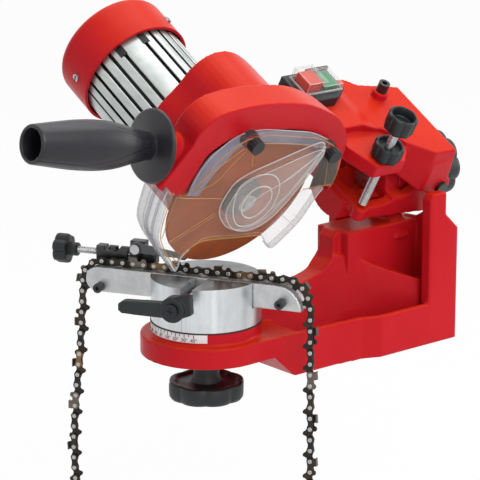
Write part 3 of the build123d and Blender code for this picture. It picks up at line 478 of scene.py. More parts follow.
# Shoulder of the cam lever, as (along the rails, z).
SHOULDER = [(-3, 88), (7.4, 92.2), (15, 91), (16, 75), (10, 72.5), (0, 71)]
shoulder = prism(SHOULDER, (-78.5, -70), lambda y, t, z: V(t, y, z))
cast("clamp_lever", 0.7 * FINE, 3, 0.5, extras=[shoulder])
NODES["lever_screw"].data.materials[0] = silver("screw_dark", (58, 60, 64), (0.3, 0.45), None, 0.05, 0.9)

STOP_Y, STOP_Z = 12.5, 96.0          # axis of the chain stop, across the rails and up


def round_sleeve(co):
    """The upper half of the stop holder is a round sleeve with a collar."""
    c, s = math.cos(TURN), math.sin(TURN)
    x, y, z = co.x * 1000 + TABLE_X, co.y * 1000, co.z * 1000
    t, y, dz = x * c + y * s, -x * s + y * c - STOP_Y, z - STOP_Z
    limit = 8.0 if t < -97 else 6.9
    r = math.hypot(y, dz)
    if z > 88.5 and r > limit:
        y, dz = y * limit / r, dz * limit / r
    return V(t, y + STOP_Y, dz + STOP_Z)


cast("stop_holder", 0.7 * FINE, 3, 0.5, round_sleeve)
PAWL = silver("pawl_steel", (96, 98, 100), (0.3, 0.45), None, 0.1, 0.85)
cast("pawl", 0.6 * FINE, 3, 0.5, mat=PAWL)
for node, voxel in (("stop_carrier", 0.7), ("rail_fixed", 0.8), ("rail_moving", 0.8)):
    cast(node, voxel * FINE, 4, 0.5)
cast("switch_housing", 0.5 * FINE, 1, 0.4)

# ------------------------------------------------------------------- knobs
UPZ = Vector((0, 0, 1))
AX_U = (H(0, 0, 1) - H(0, 0, 0)).normalized()
AX_W = (H(0, 1, 0) - H(0, 0, 0)).normalized()
AX_X = Vector((1, 0, 0))
AX_T = (V(1, 0, 0) - V(0, 0, 0)).normalized()
BLACK = MATS["black_plastic"]
DEPTH_AT = H(154, -34, 0)            # foot of the depth screw's axis


def knob(node, profile, origin, axis, segs, bend):
    lathe(node + "_form", profile, origin, axis, BLACK, BODY[node], [node], segs, bend)


TABLE_KNOB = [(0, -22.4), (14, -22.6), (28.5, -23), (31.6, -22), (33.4, -19.4), (33.8, -16), (33.8, -9.4),
              (33.0, -7.4), (31.0, -6.6), (28.6, -7.0), (27.0, -8.6), (24, -9.2), (16, -8.6), (13.4, -7.4),
              (12.0, -4), (11.3, -1), (11.3, 19), (10.6, 19.7), (0, 19.7)]
knob("table_knob", TABLE_KNOB, T(0, 0, 0), UPZ, 160, lobes(8, 2.2, 22))
TILT_KNOB = [(0, 0), (9.4, 0), (10, 0.6), (10, 35.5), (24, 35.9), (29, 36.3), (30.7, 38.4), (31, 42),
             (31, 51), (30.3, 54.4), (27.8, 56.5), (18, 56.9), (14, 56.2), (12, 55.2), (0, 55.2)]
knob("tilt_knob", TILT_KNOB, H(222.1, 0, 0), AX_X, 128, lobes(8, 3.2, 22))
DEPTH_KNOB = [(0, 86), (6, 86), (6.5, 86.5), (6.5, 89.6), (11.5, 90), (13.2, 91), (13.8, 93), (13.8, 104.6),
              (13.3, 106.3), (12.2, 107), (11.2, 106.9), (10.5, 106), (10.3, 98.6), (9.6, 98), (0, 98)]
knob("depth_knob", DEPTH_KNOB, DEPTH_AT, AX_U, 112, lobes(7, 1.9, 11))
LOCK_KNOB = [(0, 59), (11.5, 59), (13.4, 59.9), (14.2, 62), (14.2, 71.6), (13.6, 73.3), (12.4, 74),
             (11.2, 73.9), (10.5, 73), (10.3, 69.6), (9.6, 69), (0, 69)]
knob("lock_knob", LOCK_KNOB, DEPTH_AT, AX_U, 112, lobes(7, 1.9, 11))
STOP_KNOB = [(0, 0), (6, 0), (11.6, 0.2), (13, 1.1), (13.5, 3), (13.5, 10.4), (12.8, 12.4), (11, 13),
             (6.6, 13), (6, 13.6), (6, 20.4), (5.4, 21), (0, 21)]
knob("stop_knob", STOP_KNOB, V(-146, STOP_Y, STOP_Z), AX_T, 96, lobes(6, 2.4, 9))


def threaded(name, radius, pitch, start, length, origin, axis, body, node):
    """Rod with a rolled thread along its length."""
    profile = [(0, start), (radius - 0.7, start), (radius - 0.1, start + 0.7)]
    h = start + 0.7
    while h < start + length - 1.2:
        profile += [(radius, h), (radius, h + 0.22 * pitch), (radius - 0.42, h + 0.5 * pitch),
                    (radius - 0.42, h + 0.72 * pitch)]
        h += pitch
    profile += [(radius - 0.1, start + length - 0.6), (radius - 0.7, start + length), (0, start + length)]
    return lathe(name, profile, origin, axis, MATS["bright_steel"], body, [node], 28, None,
                 60)


threaded("depth_screw_form", 4.0, 1.25, 4, 93, DEPTH_AT, AX_U, "depth_slide", "depth_screw")
threaded("stop_rod_form", 3.0, 1.0, 0, 83, V(-145, STOP_Y, STOP_Z), AX_T, "stop_slide", "stop_rod")

# ------------------------------------------------------------------ handle
HANDLE_AT = H(-103.5, -11, 102)
HANDLE_AX = H(-103.5 - 126, -11 + 11, 102 + 17) - HANDLE_AT
LEAF_SIDE = Vector((-0.6198, -0.7387, 0.2639))     # the thumb panel faces the operator


def grip_bend(a, r, h):
    """Raised thumb panel on the near side, with the moulded groove round it."""
    if r < 12.5 or h < 8 or r > 22:
        return r
    side = math.degrees((a + math.pi) % (2 * math.pi) - math.pi)
    reach = 14 + 44 * clamp((h - 16) / 62) ** 0.8
    off = abs(side - 4) - reach
    panel = 0.8 / (1 + math.exp(max(-30.0, min(30.0, off * 0.9))))
    groove = 0.95 * math.exp(-(off / 2.0) ** 2) * min(1.0, (h - 8) / 12)
    return r + panel - groove


GRIP = [(0, 0), (29.6, 0), (30.6, 0.7), (30.8, 1.8), (30.3, 3.2), (28.6, 4.1), (14, 4.9), (11.8, 6),
        (11.6, 9.5), (12.4, 12)]
SWELL = [(14, 12.8), (20, 14.0), (26, 15.4), (32, 16.9), (38, 18.2), (44, 19.2), (50, 19.9), (56, 20.3),
         (62, 20.5), (68, 20.5), (74, 20.3), (80, 20.0), (86, 19.6), (92, 19.0), (98, 18.4), (104, 17.8),
         (110, 17.1), (115, 16.6)]
GRIP += [(r, h) for h, r in SWELL]
GRIP += [(16.2, 118.5), (15.9, 120.6), (15.2, 121.7), (14, 122), (13.1, 121.6), (12.6, 120.6), (12.4, 100),
         (12.2, 60), (12.2, 40), (4.2, 40), (4.2, 1)]


def fine(profile):
    """More rows along the swell of the grip, to carry the thumb panel."""
    rows = []
    for (r0, h0), (r1, h1) in zip(profile, profile[1:]):
        n = 4 if r0 > 12.5 and 12 <= h0 < 115 else 1
        rows += [(r0 + (r1 - r0) * i / n, h0 + (h1 - h0) * i / n) for i in range(n)]
    return rows + [profile[-1]]


HANDLE = plastic("handle_black", (32, 31, 37), (0.28, 0.40), 0.08, 600, 0.0006, 0.42)
lathe("handle_form", fine(GRIP), HANDLE_AT, HANDLE_AX, HANDLE, "head", ["handle_grip"],
      144, grip_bend, 50, LEAF_SIDE)

# -------------------------------------------------------------- cap screws
def cross_slots():
    """Cross recesses in the heads of the end cap screws, as thin dark blocks that paint the shade inside
    them.
    """
    verts, faces = [], []
    arm, half, deep, proud = 1.9, 0.4, 0.5, 0.06
    heads = {}
    for v in NODES["cap_screws"].data.vertices:
        x, w, u = head_local(v.co)
        a = round(math.degrees(math.atan2(u - WHEEL[1], x - WHEEL[0])) / 20)
        heads.setdefault(a, []).append((x, w, u))
    for pts in heads.values():
        x, w, u = (sum(p[j] for p in pts) / len(pts) for j in range(3))
        out = max(math.hypot(p[0] - WHEEL[0], p[2] - WHEEL[1]) for p in pts) + proud
        d = math.hypot(x - WHEEL[0], u - WHEEL[1])
        ex, eu = (x - WHEEL[0]) / d, (u - WHEEL[1]) / d
        for turn in (0.5, 0.5 + math.pi / 2):
            c, s = math.cos(turn), math.sin(turn)
            base = len(verts)
            for r in (out - deep, out):
                for a, b in ((-arm, -half), (arm, -half), (arm, half), (-arm, half)):
                    side, along = a * c - b * s, a * s + b * c
                    verts.append(H(WHEEL[0] + ex * r - eu * side, w + along, WHEEL[1] + eu * r + ex * side))
            faces += [(base, base + 3, base + 2, base + 1), (base + 4, base + 5, base + 6, base + 7)]
            faces += band(base, 4)
    # Painted shade: dark blocks stand a little proud of the heads in place of cut recesses.
    place("cap_screw_slots", solid(verts, faces), INK, "head", ())


cross_slots()

# -------------------------------------------------------------- saw chain
def islands(me):
    """Centres of the loose parts of a mesh."""
    parent = list(range(len(me.vertices)))

    def root(i):
        while parent[i] != i:
            parent[i] = parent[parent[i]]
            i = parent[i]
        return i

    for e in me.edges:
        a, b = root(e.vertices[0]), root(e.vertices[1])
        if a != b:
            parent[a] = b
    groups = {}
    for v in me.vertices:
        groups.setdefault(root(v.index), []).append(v.co)
    return [sum(g, Vector()) / len(g) for g in groups.values()]


FIRST_RIVETS = ((-97, 91.5), (-87.5, 91.5))     # where the loop starts and its next rivet, as (t, z)


def rivet_path():
    """Rivet centres as (t, z), in order round the loop, with pieces of one rivet merged."""
    c, s = math.cos(TURN), math.sin(TURN)
    spots = []
    for v in islands(NODES["chain_rivets"].data):
        x, y = v.x * 1000 + TABLE_X, v.y * 1000
        t, z = x * c + y * s, v.z * 1000
        for q in spots:
            if math.hypot(q[0] / q[2] - t, q[1] / q[2] - z) < 3.5:
                q[0] += t
                q[1] += z
                q[2] += 1
                break
        else:
            spots.append([t, z, 1])
    left = [(q[0] / q[2], q[1] / q[2]) for q in spots]
    path = []
    while left:
        near = FIRST_RIVETS[len(path)] if len(path) < len(FIRST_RIVETS) else path[-1]
        path.append(min(left, key=lambda q: math.hypot(q[0] - near[0], q[1] - near[1])))
        left.remove(path[-1])
    return path


def outline_form(outline, y0, y1, ease=0.22):
    """Plate with eased rims: vertices as (a, b, y) and faces."""
    n = len(outline)
    area = sum(outline[k][0] * outline[(k + 1) % n][1] - outline[(k + 1) % n][0] * outline[k][1]
               for k in range(n))
    turn = 1 if area > 0 else -1
    small = []
    for k in range(n):
        p, q, r = outline[k - 1], outline[k], outline[(k + 1) % n]
        dx, dy = r[0] - p[0], r[1] - p[1]
        d = math.hypot(dx, dy) or 1
        small.append((q[0] - turn * dy / d * ease, q[1] + turn * dx / d * ease))
    verts = [(*p, y0) for p in small] + [(*p, y0 + ease) for p in outline]
    verts += [(*p, y1 - ease) for p in outline] + [(*p, y1) for p in small]
    faces = [tuple(range(n - 1, -1, -1)), tuple(range(3 * n, 4 * n))]
    for r in range(3):
        faces += band(r * n, n)
    return verts, faces


def arc(cx, cy, r, a0, a1, n=7):
    """Points along an arc, angles in degrees."""
    return [(cx + r * math.cos(math.radians(a0 + (a1 - a0) * k / n)),
             cy + r * math.sin(math.radians(a0 + (a1 - a0) * k / n))) for k in range(n + 1)]


BRASS_AT = [(-122, -8), (-119.5, 67), (-45, 91.5), (32, 91.5)]     # brassy straps, as (t, z)


def chain():
    """Links, straps, cutters and rivets along the loop of rivets."""
    path = rivet_path()
    count = len(path)
    pitch = math.hypot(path[3][0] - path[2][0], path[3][1] - path[2][1])
    strap = arc(0, 0, 3.3, 62, 298) + [(pitch / 2 - 1, -2.0), (pitch / 2 + 1, -2.0)]
    strap += arc(pitch, 0, 3.3, 242, 478) + [(pitch / 2 + 1, 2.35), (pitch / 2 - 1, 2.35)]
    drive = arc(0, 0, 3.2, 60, 250) + [(1.7, -4.4), (2.9, -6.3), (4.5, -7.2), (6.0, -6.7), (6.5, -5.3),
                                       (7.1, -3.7)]
    drive += arc(pitch, 0, 3.2, 268, 480) + [(pitch / 2, 1.7)]
    plate = arc(0, 0, 3.3, 150, 298) + [(pitch / 2, -2.4)] + arc(pitch, 0, 3.3, 242, 390, 6)
    plate += [(pitch + 2.2, 4.6), (pitch + 0.6, 5.6), (pitch - 1.6, 5.2), (pitch - 2.6, 3.0), (4.6, 2.9),
              (3.6, 5.8), (-3.3, 5.4), (-3.4, 3)]
    top = [(-3.4, 5.0), (3.6, 5.6), (3.6, 6.5), (-3.4, 6.0)]
    forms = {"strap_near": outline_form(strap, 0.82, 2.0), "strap_far": outline_form(strap, -2.0, -0.82),
             "drive": outline_form(drive, -0.75, 0.75), "cut_near": outline_form(plate, 0.82, 2.0),
             "cut_far": outline_form(plate, -2.0, -0.82), "top_near": outline_form(top, -1.6, 2.0, 0.15),
             "top_far": outline_form(top, -2.0, 1.6, 0.15)}
    made = {"drive_links": ([], [], []), "tie_straps": ([], [], []), "cutters": ([], [], [])}

    def put(kind, form, k, tone):
        verts, faces, tones = made[kind]
        (t0, z0), (t1, z1) = path[k % count], path[(k + 1) % count]
        d = math.hypot(t1 - t0, z1 - z0)
        ex, ez = (t1 - t0) / d, (z1 - z0) / d
        slip = (d - pitch) / 2
        base = len(verts)
        for a, b, y in forms[form][0]:
            a += slip
            verts.append(V(t0 + a * ex - b * ez, -y, z0 + a * ez + b * ex))
        for f in forms[form][1]:
            faces.append(tuple(base + i for i in f))
            tones.append(tone)

    for k in range(count):
        tone = (0, 0, 0, 0, 0, 1, 0)[(k * 5) % 7]
        if k % 2 == 0:
            put("drive_links", "drive", k, tone)
            continue
        turn = (k // 2) % 4
        t, z = ((a + b) / 2 for a, b in zip(path[k], path[(k + 1) % count]))
        brassy = any(math.hypot(t - a, z - b) < 9.0 for a, b in BRASS_AT)
        for side, kind in ((1, "near"), (3, "far")):
            if turn == side:
                put("cutters", "cut_" + kind, k, 2 if k % 3 else 1)
                put("cutters", "top_" + kind, k, 1)
            else:
                put("tie_straps", "strap_" + kind, k, 2 if brassy else tone)
    dark, worn = MATS["chain_steel"], silver("chain_worn", (66, 58, 50), (0.28, 0.45), None, 0.2, 0.85)
    brass = silver("chain_brass", (132, 106, 70), (0.28, 0.45), None, 0.2, 0.85)
    bright = MATS["cutter_steel"]
    sets = {"drive_links": [dark, worn], "tie_straps": [dark, worn, brass], "cutters": [dark, bright, worn]}
    for node, (verts, faces, tones) in made.items():
        me = solid(verts, faces)
        ob = place(node + "_form", me, sets[node], "turntable", [node], 35)
        for p, tone in zip(ob.data.polygons, tones):
            p.material_index = tone
    verts, faces = [], []
    rings = [(2.05, 2.0), (2.05, 2.25), (1.75, 2.5), (1.1, 2.62), (0.75, 2.5), (0.0, 2.46)]
    for t, z in path:
        for sign in (1, -1):
            base, seg = len(verts), 14
            for r, y in rings[:-1]:
                verts += [V(t + r * math.cos(2 * math.pi * i / seg), -sign * y,
                            z + r * math.sin(2 * math.pi * i / seg)) for i in range(seg)]
            verts.append(V(t, -sign * rings[-1][1], z))
            for q in range(len(rings) - 2):
                faces += band(base + q * seg, seg)
            last = base + (len(rings) - 2) * seg
            faces += [(last + i, last + (i + 1) % seg, len(verts) - 1) for i in range(seg)]
            faces.append(tuple(base + i for i in range(seg - 1, -1, -1)))
    place("chain_rivets_form", solid(verts, faces),
          silver("rivet_steel", (190, 188, 184), (0.2, 0.35), None, 0.1, 0.9), "turntable",
          ["chain_rivets"], 50)


chain()

# ------------------------------------------------------------ motor barrel
BARREL_R, BARREL_BORE, GROOVE_R = 48.0, 42.6, 43.8
BARREL_W = (60.0, 168.0)
GROOVES = 28
BARREL_TURN = 3.5
# Painted shade: near-black material for the faces inside the narrow grooves.
GROOVE = plastic("groove_shade", (38, 42, 40), (0.4, 0.5), 0.05)


def barrel():
    """Extruded shell with rounded fins, one wide land and narrow grooves."""
    ring, r = [], BARREL_R
    for k in range(GROOVES):
        a = 360.0 / GROOVES * k + BARREL_TURN
        half = 1.75
        if k % 7 == 2:
            for d in (-half, -half / 2, 0, half / 2, half):
                ring.append((r, a + d))
        else:
            ring += [(r, a - half * 1.9), (47.85, a - half * 1.35), (47.3, a - half),
                     (44.2, a - half * 0.8), (GROOVE_R, a), (44.2, a + half * 0.8), (47.3, a + half),
                     (47.85, a + half * 1.35), (r, a + half * 1.9)]
        for d in (3.6, 5.2, 6.4, 7.7, 9.2):
            ring.append((r, a + d))
    verts, rows = [], []
    for w in BARREL_W:
        outer, inner = [], []
        for r, a in ring:
            t = math.radians(a)
            verts.append(H(WHEEL[0] + r * math.cos(t), w, WHEEL[1] + r * math.sin(t)))
            outer.append(len(verts) - 1)
        for r, a in ring:
            t = math.radians(a)
            verts.append(H(WHEEL[0] + BARREL_BORE * math.cos(t), w, WHEEL[1] + BARREL_BORE * math.sin(t)))
            inner.append(len(verts) - 1)
        rows.append((outer, inner))
    (o0, i0), (o1, i1) = rows
    n, faces = len(ring), []
    for k in range(n):
        j = (k + 1) % n
        faces += [(o0[k], o0[j], o1[j], o1[k]), (i0[j], i0[k], i1[k], i1[j]),
                  (o0[j], o0[k], i0[k], i0[j]), (o1[k], o1[j], i1[j], i1[k])]
    ob = place("motor_barrel_form", solid(verts, faces), [MATS["barrel_metal"], GROOVE], "head",
               ["motor_barrel"], 25)
    # Painted shade: faces deep in the grooves take the dark material.
    for p in ob.data.polygons:
        x, w, u = head_local(p.center)
        r = math.hypot(x - WHEEL[0], u - WHEEL[1])
        if 43.0 < r < 46.6 and 62 < w < 166:
            p.material_index = 1
    # Painted shade: the two notches are solid dark blocks standing in for the shade inside them.
    for i, (k, shift) in enumerate(((8, -1.0), (10, 1.2))):
        a = 360.0 / GROOVES * k + BARREL_TURN + shift
        verts = []
        for w in (129.0, 140.0):
            for r in (44.0, 48.25):
                for d in (-4.2, -2.1, 0, 2.1, 4.2):
                    t = math.radians(a + d)
                    verts.append(H(WHEEL[0] + r * math.cos(t), w, WHEEL[1] + r * math.sin(t)))
        faces = [(0, 1, 2, 3, 4, 9, 8, 7, 6, 5), (10, 15, 16, 17, 18, 19, 14, 13, 12, 11), (0, 5, 15, 10),
                 (4, 14, 19, 9)]
        faces += [(5 + j, 6 + j, 16 + j, 15 + j) for j in range(4)] + [(j, 10 + j, 11 + j, 1 + j)
                                                                       for j in range(4)]
        place("barrel_notch_%d" % (i + 1), solid(verts, faces), INK, "head", ())


barrel()

# ------------------------------------------------------------- wheel cover
# Outlines and lines of the cover are (x, u) pairs in the head, in millimetres.
FACE_W, WALL_W, CREST_W = -39.9, -39.2, -46.0     # depths of face lines, walls and bulge
COVER = [(-92.6, 70.6), (-92.5, 69.7), (-93.2, 56.7), (-92.1, 43.3), (-89.5, 27.1), (-83.7, 14.5),
         (-70.2, -3.4), (-53.1, -22.8), (-51.3, -19.5), (-51.6, -5.6), (-43.6, 5.2), (-32.6, 8.3),
         (-12.7, 6), (6.5, 2.8), (25.4, 0.2), (33.8, -2.3), (46, 20), (59.3, 43.6), (85, 44.6),
         (93.3, 41.6), (94, 52), (93, 64), (89.5, 76.5), (82.7, 85.9), (69.1, 95.4), (48.7, 105.4),
         (26.1, 111.3), (5.7, 116.2), (-11.6, 119.5), (-27.5, 119.6), (-39.9, 115.5), (-49.6, 107.3),
         (-57.3, 98.1), (-62.5, 85.1), (-64.9, 71.4), (-66, 68.0), (-76.3, 67.6)]
FACE = clear("cover_face", (226, 214, 202), 0.02, 0.22, (0.05, 0.1), 0.2)
slab("cover_face_plate", COVER, -39.8, -38.2, [FACE, AMBER], "head", ["clear_cover"], 0.3)


def wall(name, line, w0, depths, mat, thick=1.4):
    """Turned-back wall of the cover along an open line of (x, u) points."""
    verts, faces = [], []
    n = len(line)
    for k, (x, u) in enumerate(line):
        a, b = line[max(k - 1, 0)], line[min(k + 1, n - 1)]
        dx, du = b[0] - a[0], b[1] - a[1]
        d = math.hypot(dx, du) or 1.0
        nx, nu = -du / d * thick, dx / d * thick
        w1 = w0 + depths[k]
        verts += [H(x, w0, u), H(x, w1, u), H(x + nx, w1, u + nu), H(x + nx, w0, u + nu)]
    for k in range(n - 1):
        a, b = 4 * k, 4 * k + 4
        faces += [(a + i, b + i, b + (i + 1) % 4, a + (i + 1) % 4) for i in range(4)]
    faces += [(0, 1, 2, 3), (4 * n - 1, 4 * n - 2, 4 * n - 3, 4 * n - 4)]
    return place(name, solid(verts, faces), mat, "head", (), 30)


left = smooth_line(COVER[:8], 5)
depths = [32.0 if u > -3.4 else 32.0 * max(0.02, (u + 22.8) / 19.4) for x, u in left]
wall("cover_side_wall", left, WALL_W, depths, CLEAR_WALL)
# Painted reflections: grey and whitish lines run along the side wall at set depths for the streaks
# reflected in its curved clear face.
STREAK = clear("clear_streak", (160, 160, 172), 0.22, 0.6)
STREAKS = ((5.0, 0.5, CLEAR_HIGHLIGHT), (8.0, 1.3, STREAK), (17.0, 1.6, STREAK), (22.0, 0.7, CLEAR_HIGHLIGHT),
           (30.0, 0.8, CLEAR_HIGHLIGHT))
for i, (back, radius, tone) in enumerate(STREAKS):
    run = [H(x - 0.8, WALL_W + min(back, d - 0.6), u) for (x, u), d in zip(left, depths)]
    strip("cover_side_streak_%d" % (i + 1), run, radius, tone, "head")
low = smooth_line(COVER[8:16], 4)
wall("cover_low_wall", low, WALL_W, [4.0] * len(low), FACE)
top = smooth_line(COVER[19:36], 4)
wall("cover_top_wall", top, WALL_W, [7.4] * len(top), FACE, 0.9)

PANEL = [(34.6, -3), (45.7, -16.8), (52.5, -22), (58.4, -19.8), (75.3, 4.7), (83.2, 33.3), (87, 40.6),
         (84.8, 43.4), (59.8, 42.4), (47, 19.6)]
WINDOW = clear("window_face", (240, 241, 241), 0.05, 0.5, (0.05, 0.1), 0.2)
slab("lower_window_plate", PANEL, -39.5, -38.0, [WINDOW, CLEAR_HIGHLIGHT], "head", ["lower_window"],
     0.3)
edge = smooth_line(PANEL[1:7], 4)
wall("lower_window_wall", edge, -38.6, [5.0] * len(edge), CLEAR_WALL)

BULGE = smooth_line([(-31.4, 44.6), (-30.2, 59.6), (-25.0, 72.0), (-12.0, 80.0), (9.2, 86.7), (30.7, 93.5),
                     (54.1, 99.5), (62.7, 94.9), (59.2, 78.6), (49.8, 56.4), (39.8, 35.3), (27.0, 19.3),
                     (8.4, 12.4), (-10.5, 17.2), (-24.8, 30.8)], 5, True)
BULGE_MID = (8.0, 55.0)


def drawn_in(k):
    """The bulge's outline, shrunk to k about its middle."""
    cx, cu = BULGE_MID
    return [(cx + (x - cx) * k, cu + (u - cu) * k) for x, u in BULGE]


def bulge():
    """Raised teardrop over the arbor with a rounded shoulder."""
    rows = [(1.0, -39.8), (0.985, -42.4), (0.965, -44.6), (0.93, -45.7), (0.88, CREST_W)]
    verts = []
    for k, w in rows:
        verts += [H(x, w, u) for x, u in drawn_in(k)]
    n, faces = len(BULGE), []
    for r in range(len(rows) - 1):
        faces += band(r * n, n)
    faces.append(tuple(range((len(rows) - 1) * n, len(rows) * n)))
    place("cover_bulge", solid(verts, faces), clear("bulge_face", (232, 232, 230), 0.07, 0.7, (0.04, 0.08),
                                                    0.3), "head", (), 60)


bulge()


def bead(name, pts, w, radius, mat=CLEAR_HIGHLIGHT, closed=False, steps=6):
    """Raised line of the cover, at a depth w in the head."""
    line = smooth_line(pts, steps, closed)
    strip(name, [H(x, w, u) for x, u in line], radius, mat, "head", closed)


OVAL_1 = [(-25.2, 60), (-24.0, 73), (-9.7, 80.7), (8, 78), (20.5, 66.0), (25.0, 48), (21, 32), (8, 22.5),
          (-8, 24.7), (-20.0, 41.0)]
OVAL_2 = [(-13.1, 48.2), (-11.1, 60.0), (-1.7, 66.5), (11.5, 62.7), (18.3, 49.6), (14.0, 36.4), (3.4, 30.8),
          (-7.5, 36.6)]
# Beads in the whitish clear paint highlights along the bulge, tip and window edges; amber beads are the
# tinted edges.
bead("bulge_foot", BULGE, -40.2, 0.55, closed=True, steps=1)
bead("bulge_crest", drawn_in(0.93), -45.8, 0.4, closed=True, steps=1)
bead("cover_rim_top", COVER[19:36], FACE_W, 0.4, AMBER)
bead("cover_rim_foot", COVER[21:36], -32.2, 0.35)
bead("cover_tip", [(-72, -1), (-62, -12), (-53.6, -22), (-52, -19), (-52.2, -6), (-47, 1)], -40.1, 0.7)
bead("cover_tip_in", [(-66, -1), (-58, -9), (-54.6, -11), (-54.8, -4), (-50, 3.5)], -40.1, 0.35, AMBER)
bead("bulge_ring_outer", OVAL_1, CREST_W, 0.55, closed=True)
bead("bulge_ring_inner", OVAL_2, CREST_W, 0.6, closed=True)
bead("bulge_line_1", [(-10.7, 40.2), (4.3, 55.7), (32.5, 71.0), (55.5, 95.1)], CREST_W, 0.4)
bead("bulge_line_2", [(24, 66), (40, 80), (58, 96)], CREST_W, 0.35)
bead("bulge_line_3", [(21, 34), (38, 52), (58.5, 92)], CREST_W, 0.35)
bead("cover_line_left_1", [(-91.6, 74), (-91.4, 57), (-90.4, 43), (-87.6, 28), (-82, 16), (-69, -1.5),
                           (-54, -18.5)], -40.0, 0.5, AMBER)
bead("cover_line_left_2", [(-86.3, 68.4), (-86.1, 53.3), (-85.2, 40.6), (-83.7, 21.5)], FACE_W, 0.4, AMBER)
bead("cover_line_low", [(-51.4, -6), (-43.4, 4.6), (-32.6, 7.6), (-12.7, 5.4), (6.5, 2.6), (25.4, 0.2),
                        (33.6, -1.6)], -40.0, 0.6, AMBER)
bead("cover_line_low_2", [(-48, 1.5), (-40, 8.6), (-30, 10.8), (-12.7, 8.6), (6.5, 5.6), (25.4, 3.0),
                          (35, 1.2)], FACE_W, 0.35, AMBER)
bead("cover_line_seam", [(-86, 67.5), (-75.0, 64.3), (-41.6, 57.0), (-32.0, 54.5)], FACE_W, 0.35, AMBER,
     steps=2)
bead("cover_line_diag_1", [(-74.8, 14.7), (-34.4, 39.4)], FACE_W, 0.4, AMBER, steps=2)
bead("cover_line_diag_2", [(-72.4, 12.0), (-32.4, 36.2)], FACE_W, 0.25, AMBER, steps=2)
bead("cover_line_in_1", [(-74, 69.1), (-66.4, 82), (-55.8, 90.3), (-43.2, 100.7), (-31.6, 109.2)], FACE_W,
     0.45, AMBER)
bead("cover_line_in_2", [(-66.4, 69.1), (-48.3, 76.5), (-39.5, 90.8), (-26.1, 108.9)], FACE_W, 0.35, AMBER)
bead("cover_line_top", [(-16, 112), (-10.4, 110.9), (13.3, 106.3), (39.6, 100.1), (66, 92)], FACE_W, 0.35,
     AMBER)
bead("cover_line_drop", [(-21.5, 107.1), (-14, 86.2)], FACE_W, 0.4, AMBER, steps=2)
bead("cover_line_right_1", [(73.7, 78.4), (80, 62), (85.2, 45.9)], FACE_W, 0.35, AMBER, steps=3)
bead("cover_line_right_2", [(59.9, 45.8), (92.4, 44.9)], FACE_W, 0.45, AMBER, steps=2)
bead("window_rib_1", [(62.2, 17), (76, 7.3)], -39.7, 0.4, steps=2)
bead("window_rib_2", [(47.5, 19.0), (71.3, 0.6)], -39.7, 0.4, steps=2)
bead("window_edge", [(36, -3), (46, -15.6), (52.5, -20.4), (57.6, -18.6), (73.8, 5), (81.6, 33), (85, 40)],
     -39.6, 0.5)

# Grey liner inside the arch, and at its right end a near-black sheet that paints the shade inside the
# guard's pocket.
LINER_OUT = [(-65.1, 57.1), (-64.9, 71.4), (-62.5, 85.1), (-57.3, 98.1), (-49.6, 105.3), (-39.9, 112.5),
             (-27.5, 116.1), (-11.6, 116.6), (5.7, 114.2), (26.1, 110.3), (48.7, 104.4), (69.1, 94.4),
             (83.7, 84.9), (92.2, 76.5), (98.2, 64.7)]
LINER_IN = [(-52.3, 54.4), (-49.0, 64.8), (-46.2, 73.5), (-42.0, 81.5), (-37.3, 88.2), (-34.0, 95.7),
            (-29.3, 101.3), (-18.0, 106.2), (-9.1, 105.5), (6.0, 101.0), (30.9, 94.4), (58.9, 86.9),
            (75.7, 80.5), (88, 66), (90, 60)]
outer, inner = smooth_line(LINER_OUT, 5), smooth_line(LINER_IN, 5)
slab("guard_liner", outer + inner[::-1], -31.4, -30.3, LINER, "head", (), 0.2)
POCKET = [(62.1, 82.3), (76.5, 80.7), (88.4, 77.2), (99.8, 60.1), (105.5, 42.8), (104.3, 34.6),
          (89.5, 35.6), (78.2, 35.1), (76.8, 49.9), (79.3, 62.0)]
# Painted shade: a near-black sheet where the inside of the guard lies in shadow.
POCKET_SHADE = plastic("pocket_shade", (14, 24, 21), (0.3, 0.5), 0.1, spec=0.12)
slab("guard_pocket", POCKET, -32.4, -31.5, POCKET_SHADE, "head", (), 0.2)
SLEEVE = plastic("boss_dark", (58, 60, 64), (0.35, 0.5), 0.1)
BOSS = [(7.1, -31.3), (7.8, -31.3), (7.8, -37.2), (7.4, -37.6), (7.1, -37.6), (7.1, -31.3)]
for i, (x, u) in enumerate(((-24.0, 114.0), (74.0, 85.0))):
    lathe("cover_boss_%d" % (i + 1), BOSS, H(x, 0, u), AX_W, SLEEVE, "head", (), 40)


# ------------------------------------------------------------- angle scale
def text_mesh(body, size):
    """Flat lettering, centred."""
    cu = bpy.data.curves.new("label", "FONT")
    cu.body = body
    cu.size = size
    cu.align_x = "CENTER"
    cu.resolution_u = 3
    return through(cu)


SCALE_R, SCALE_ZERO = 48.62, -182.0     # radius and heading of the scale's zero
TICK_TOP, FIGURE_Z, FIGURE = 48.3, 41.7, 4.4


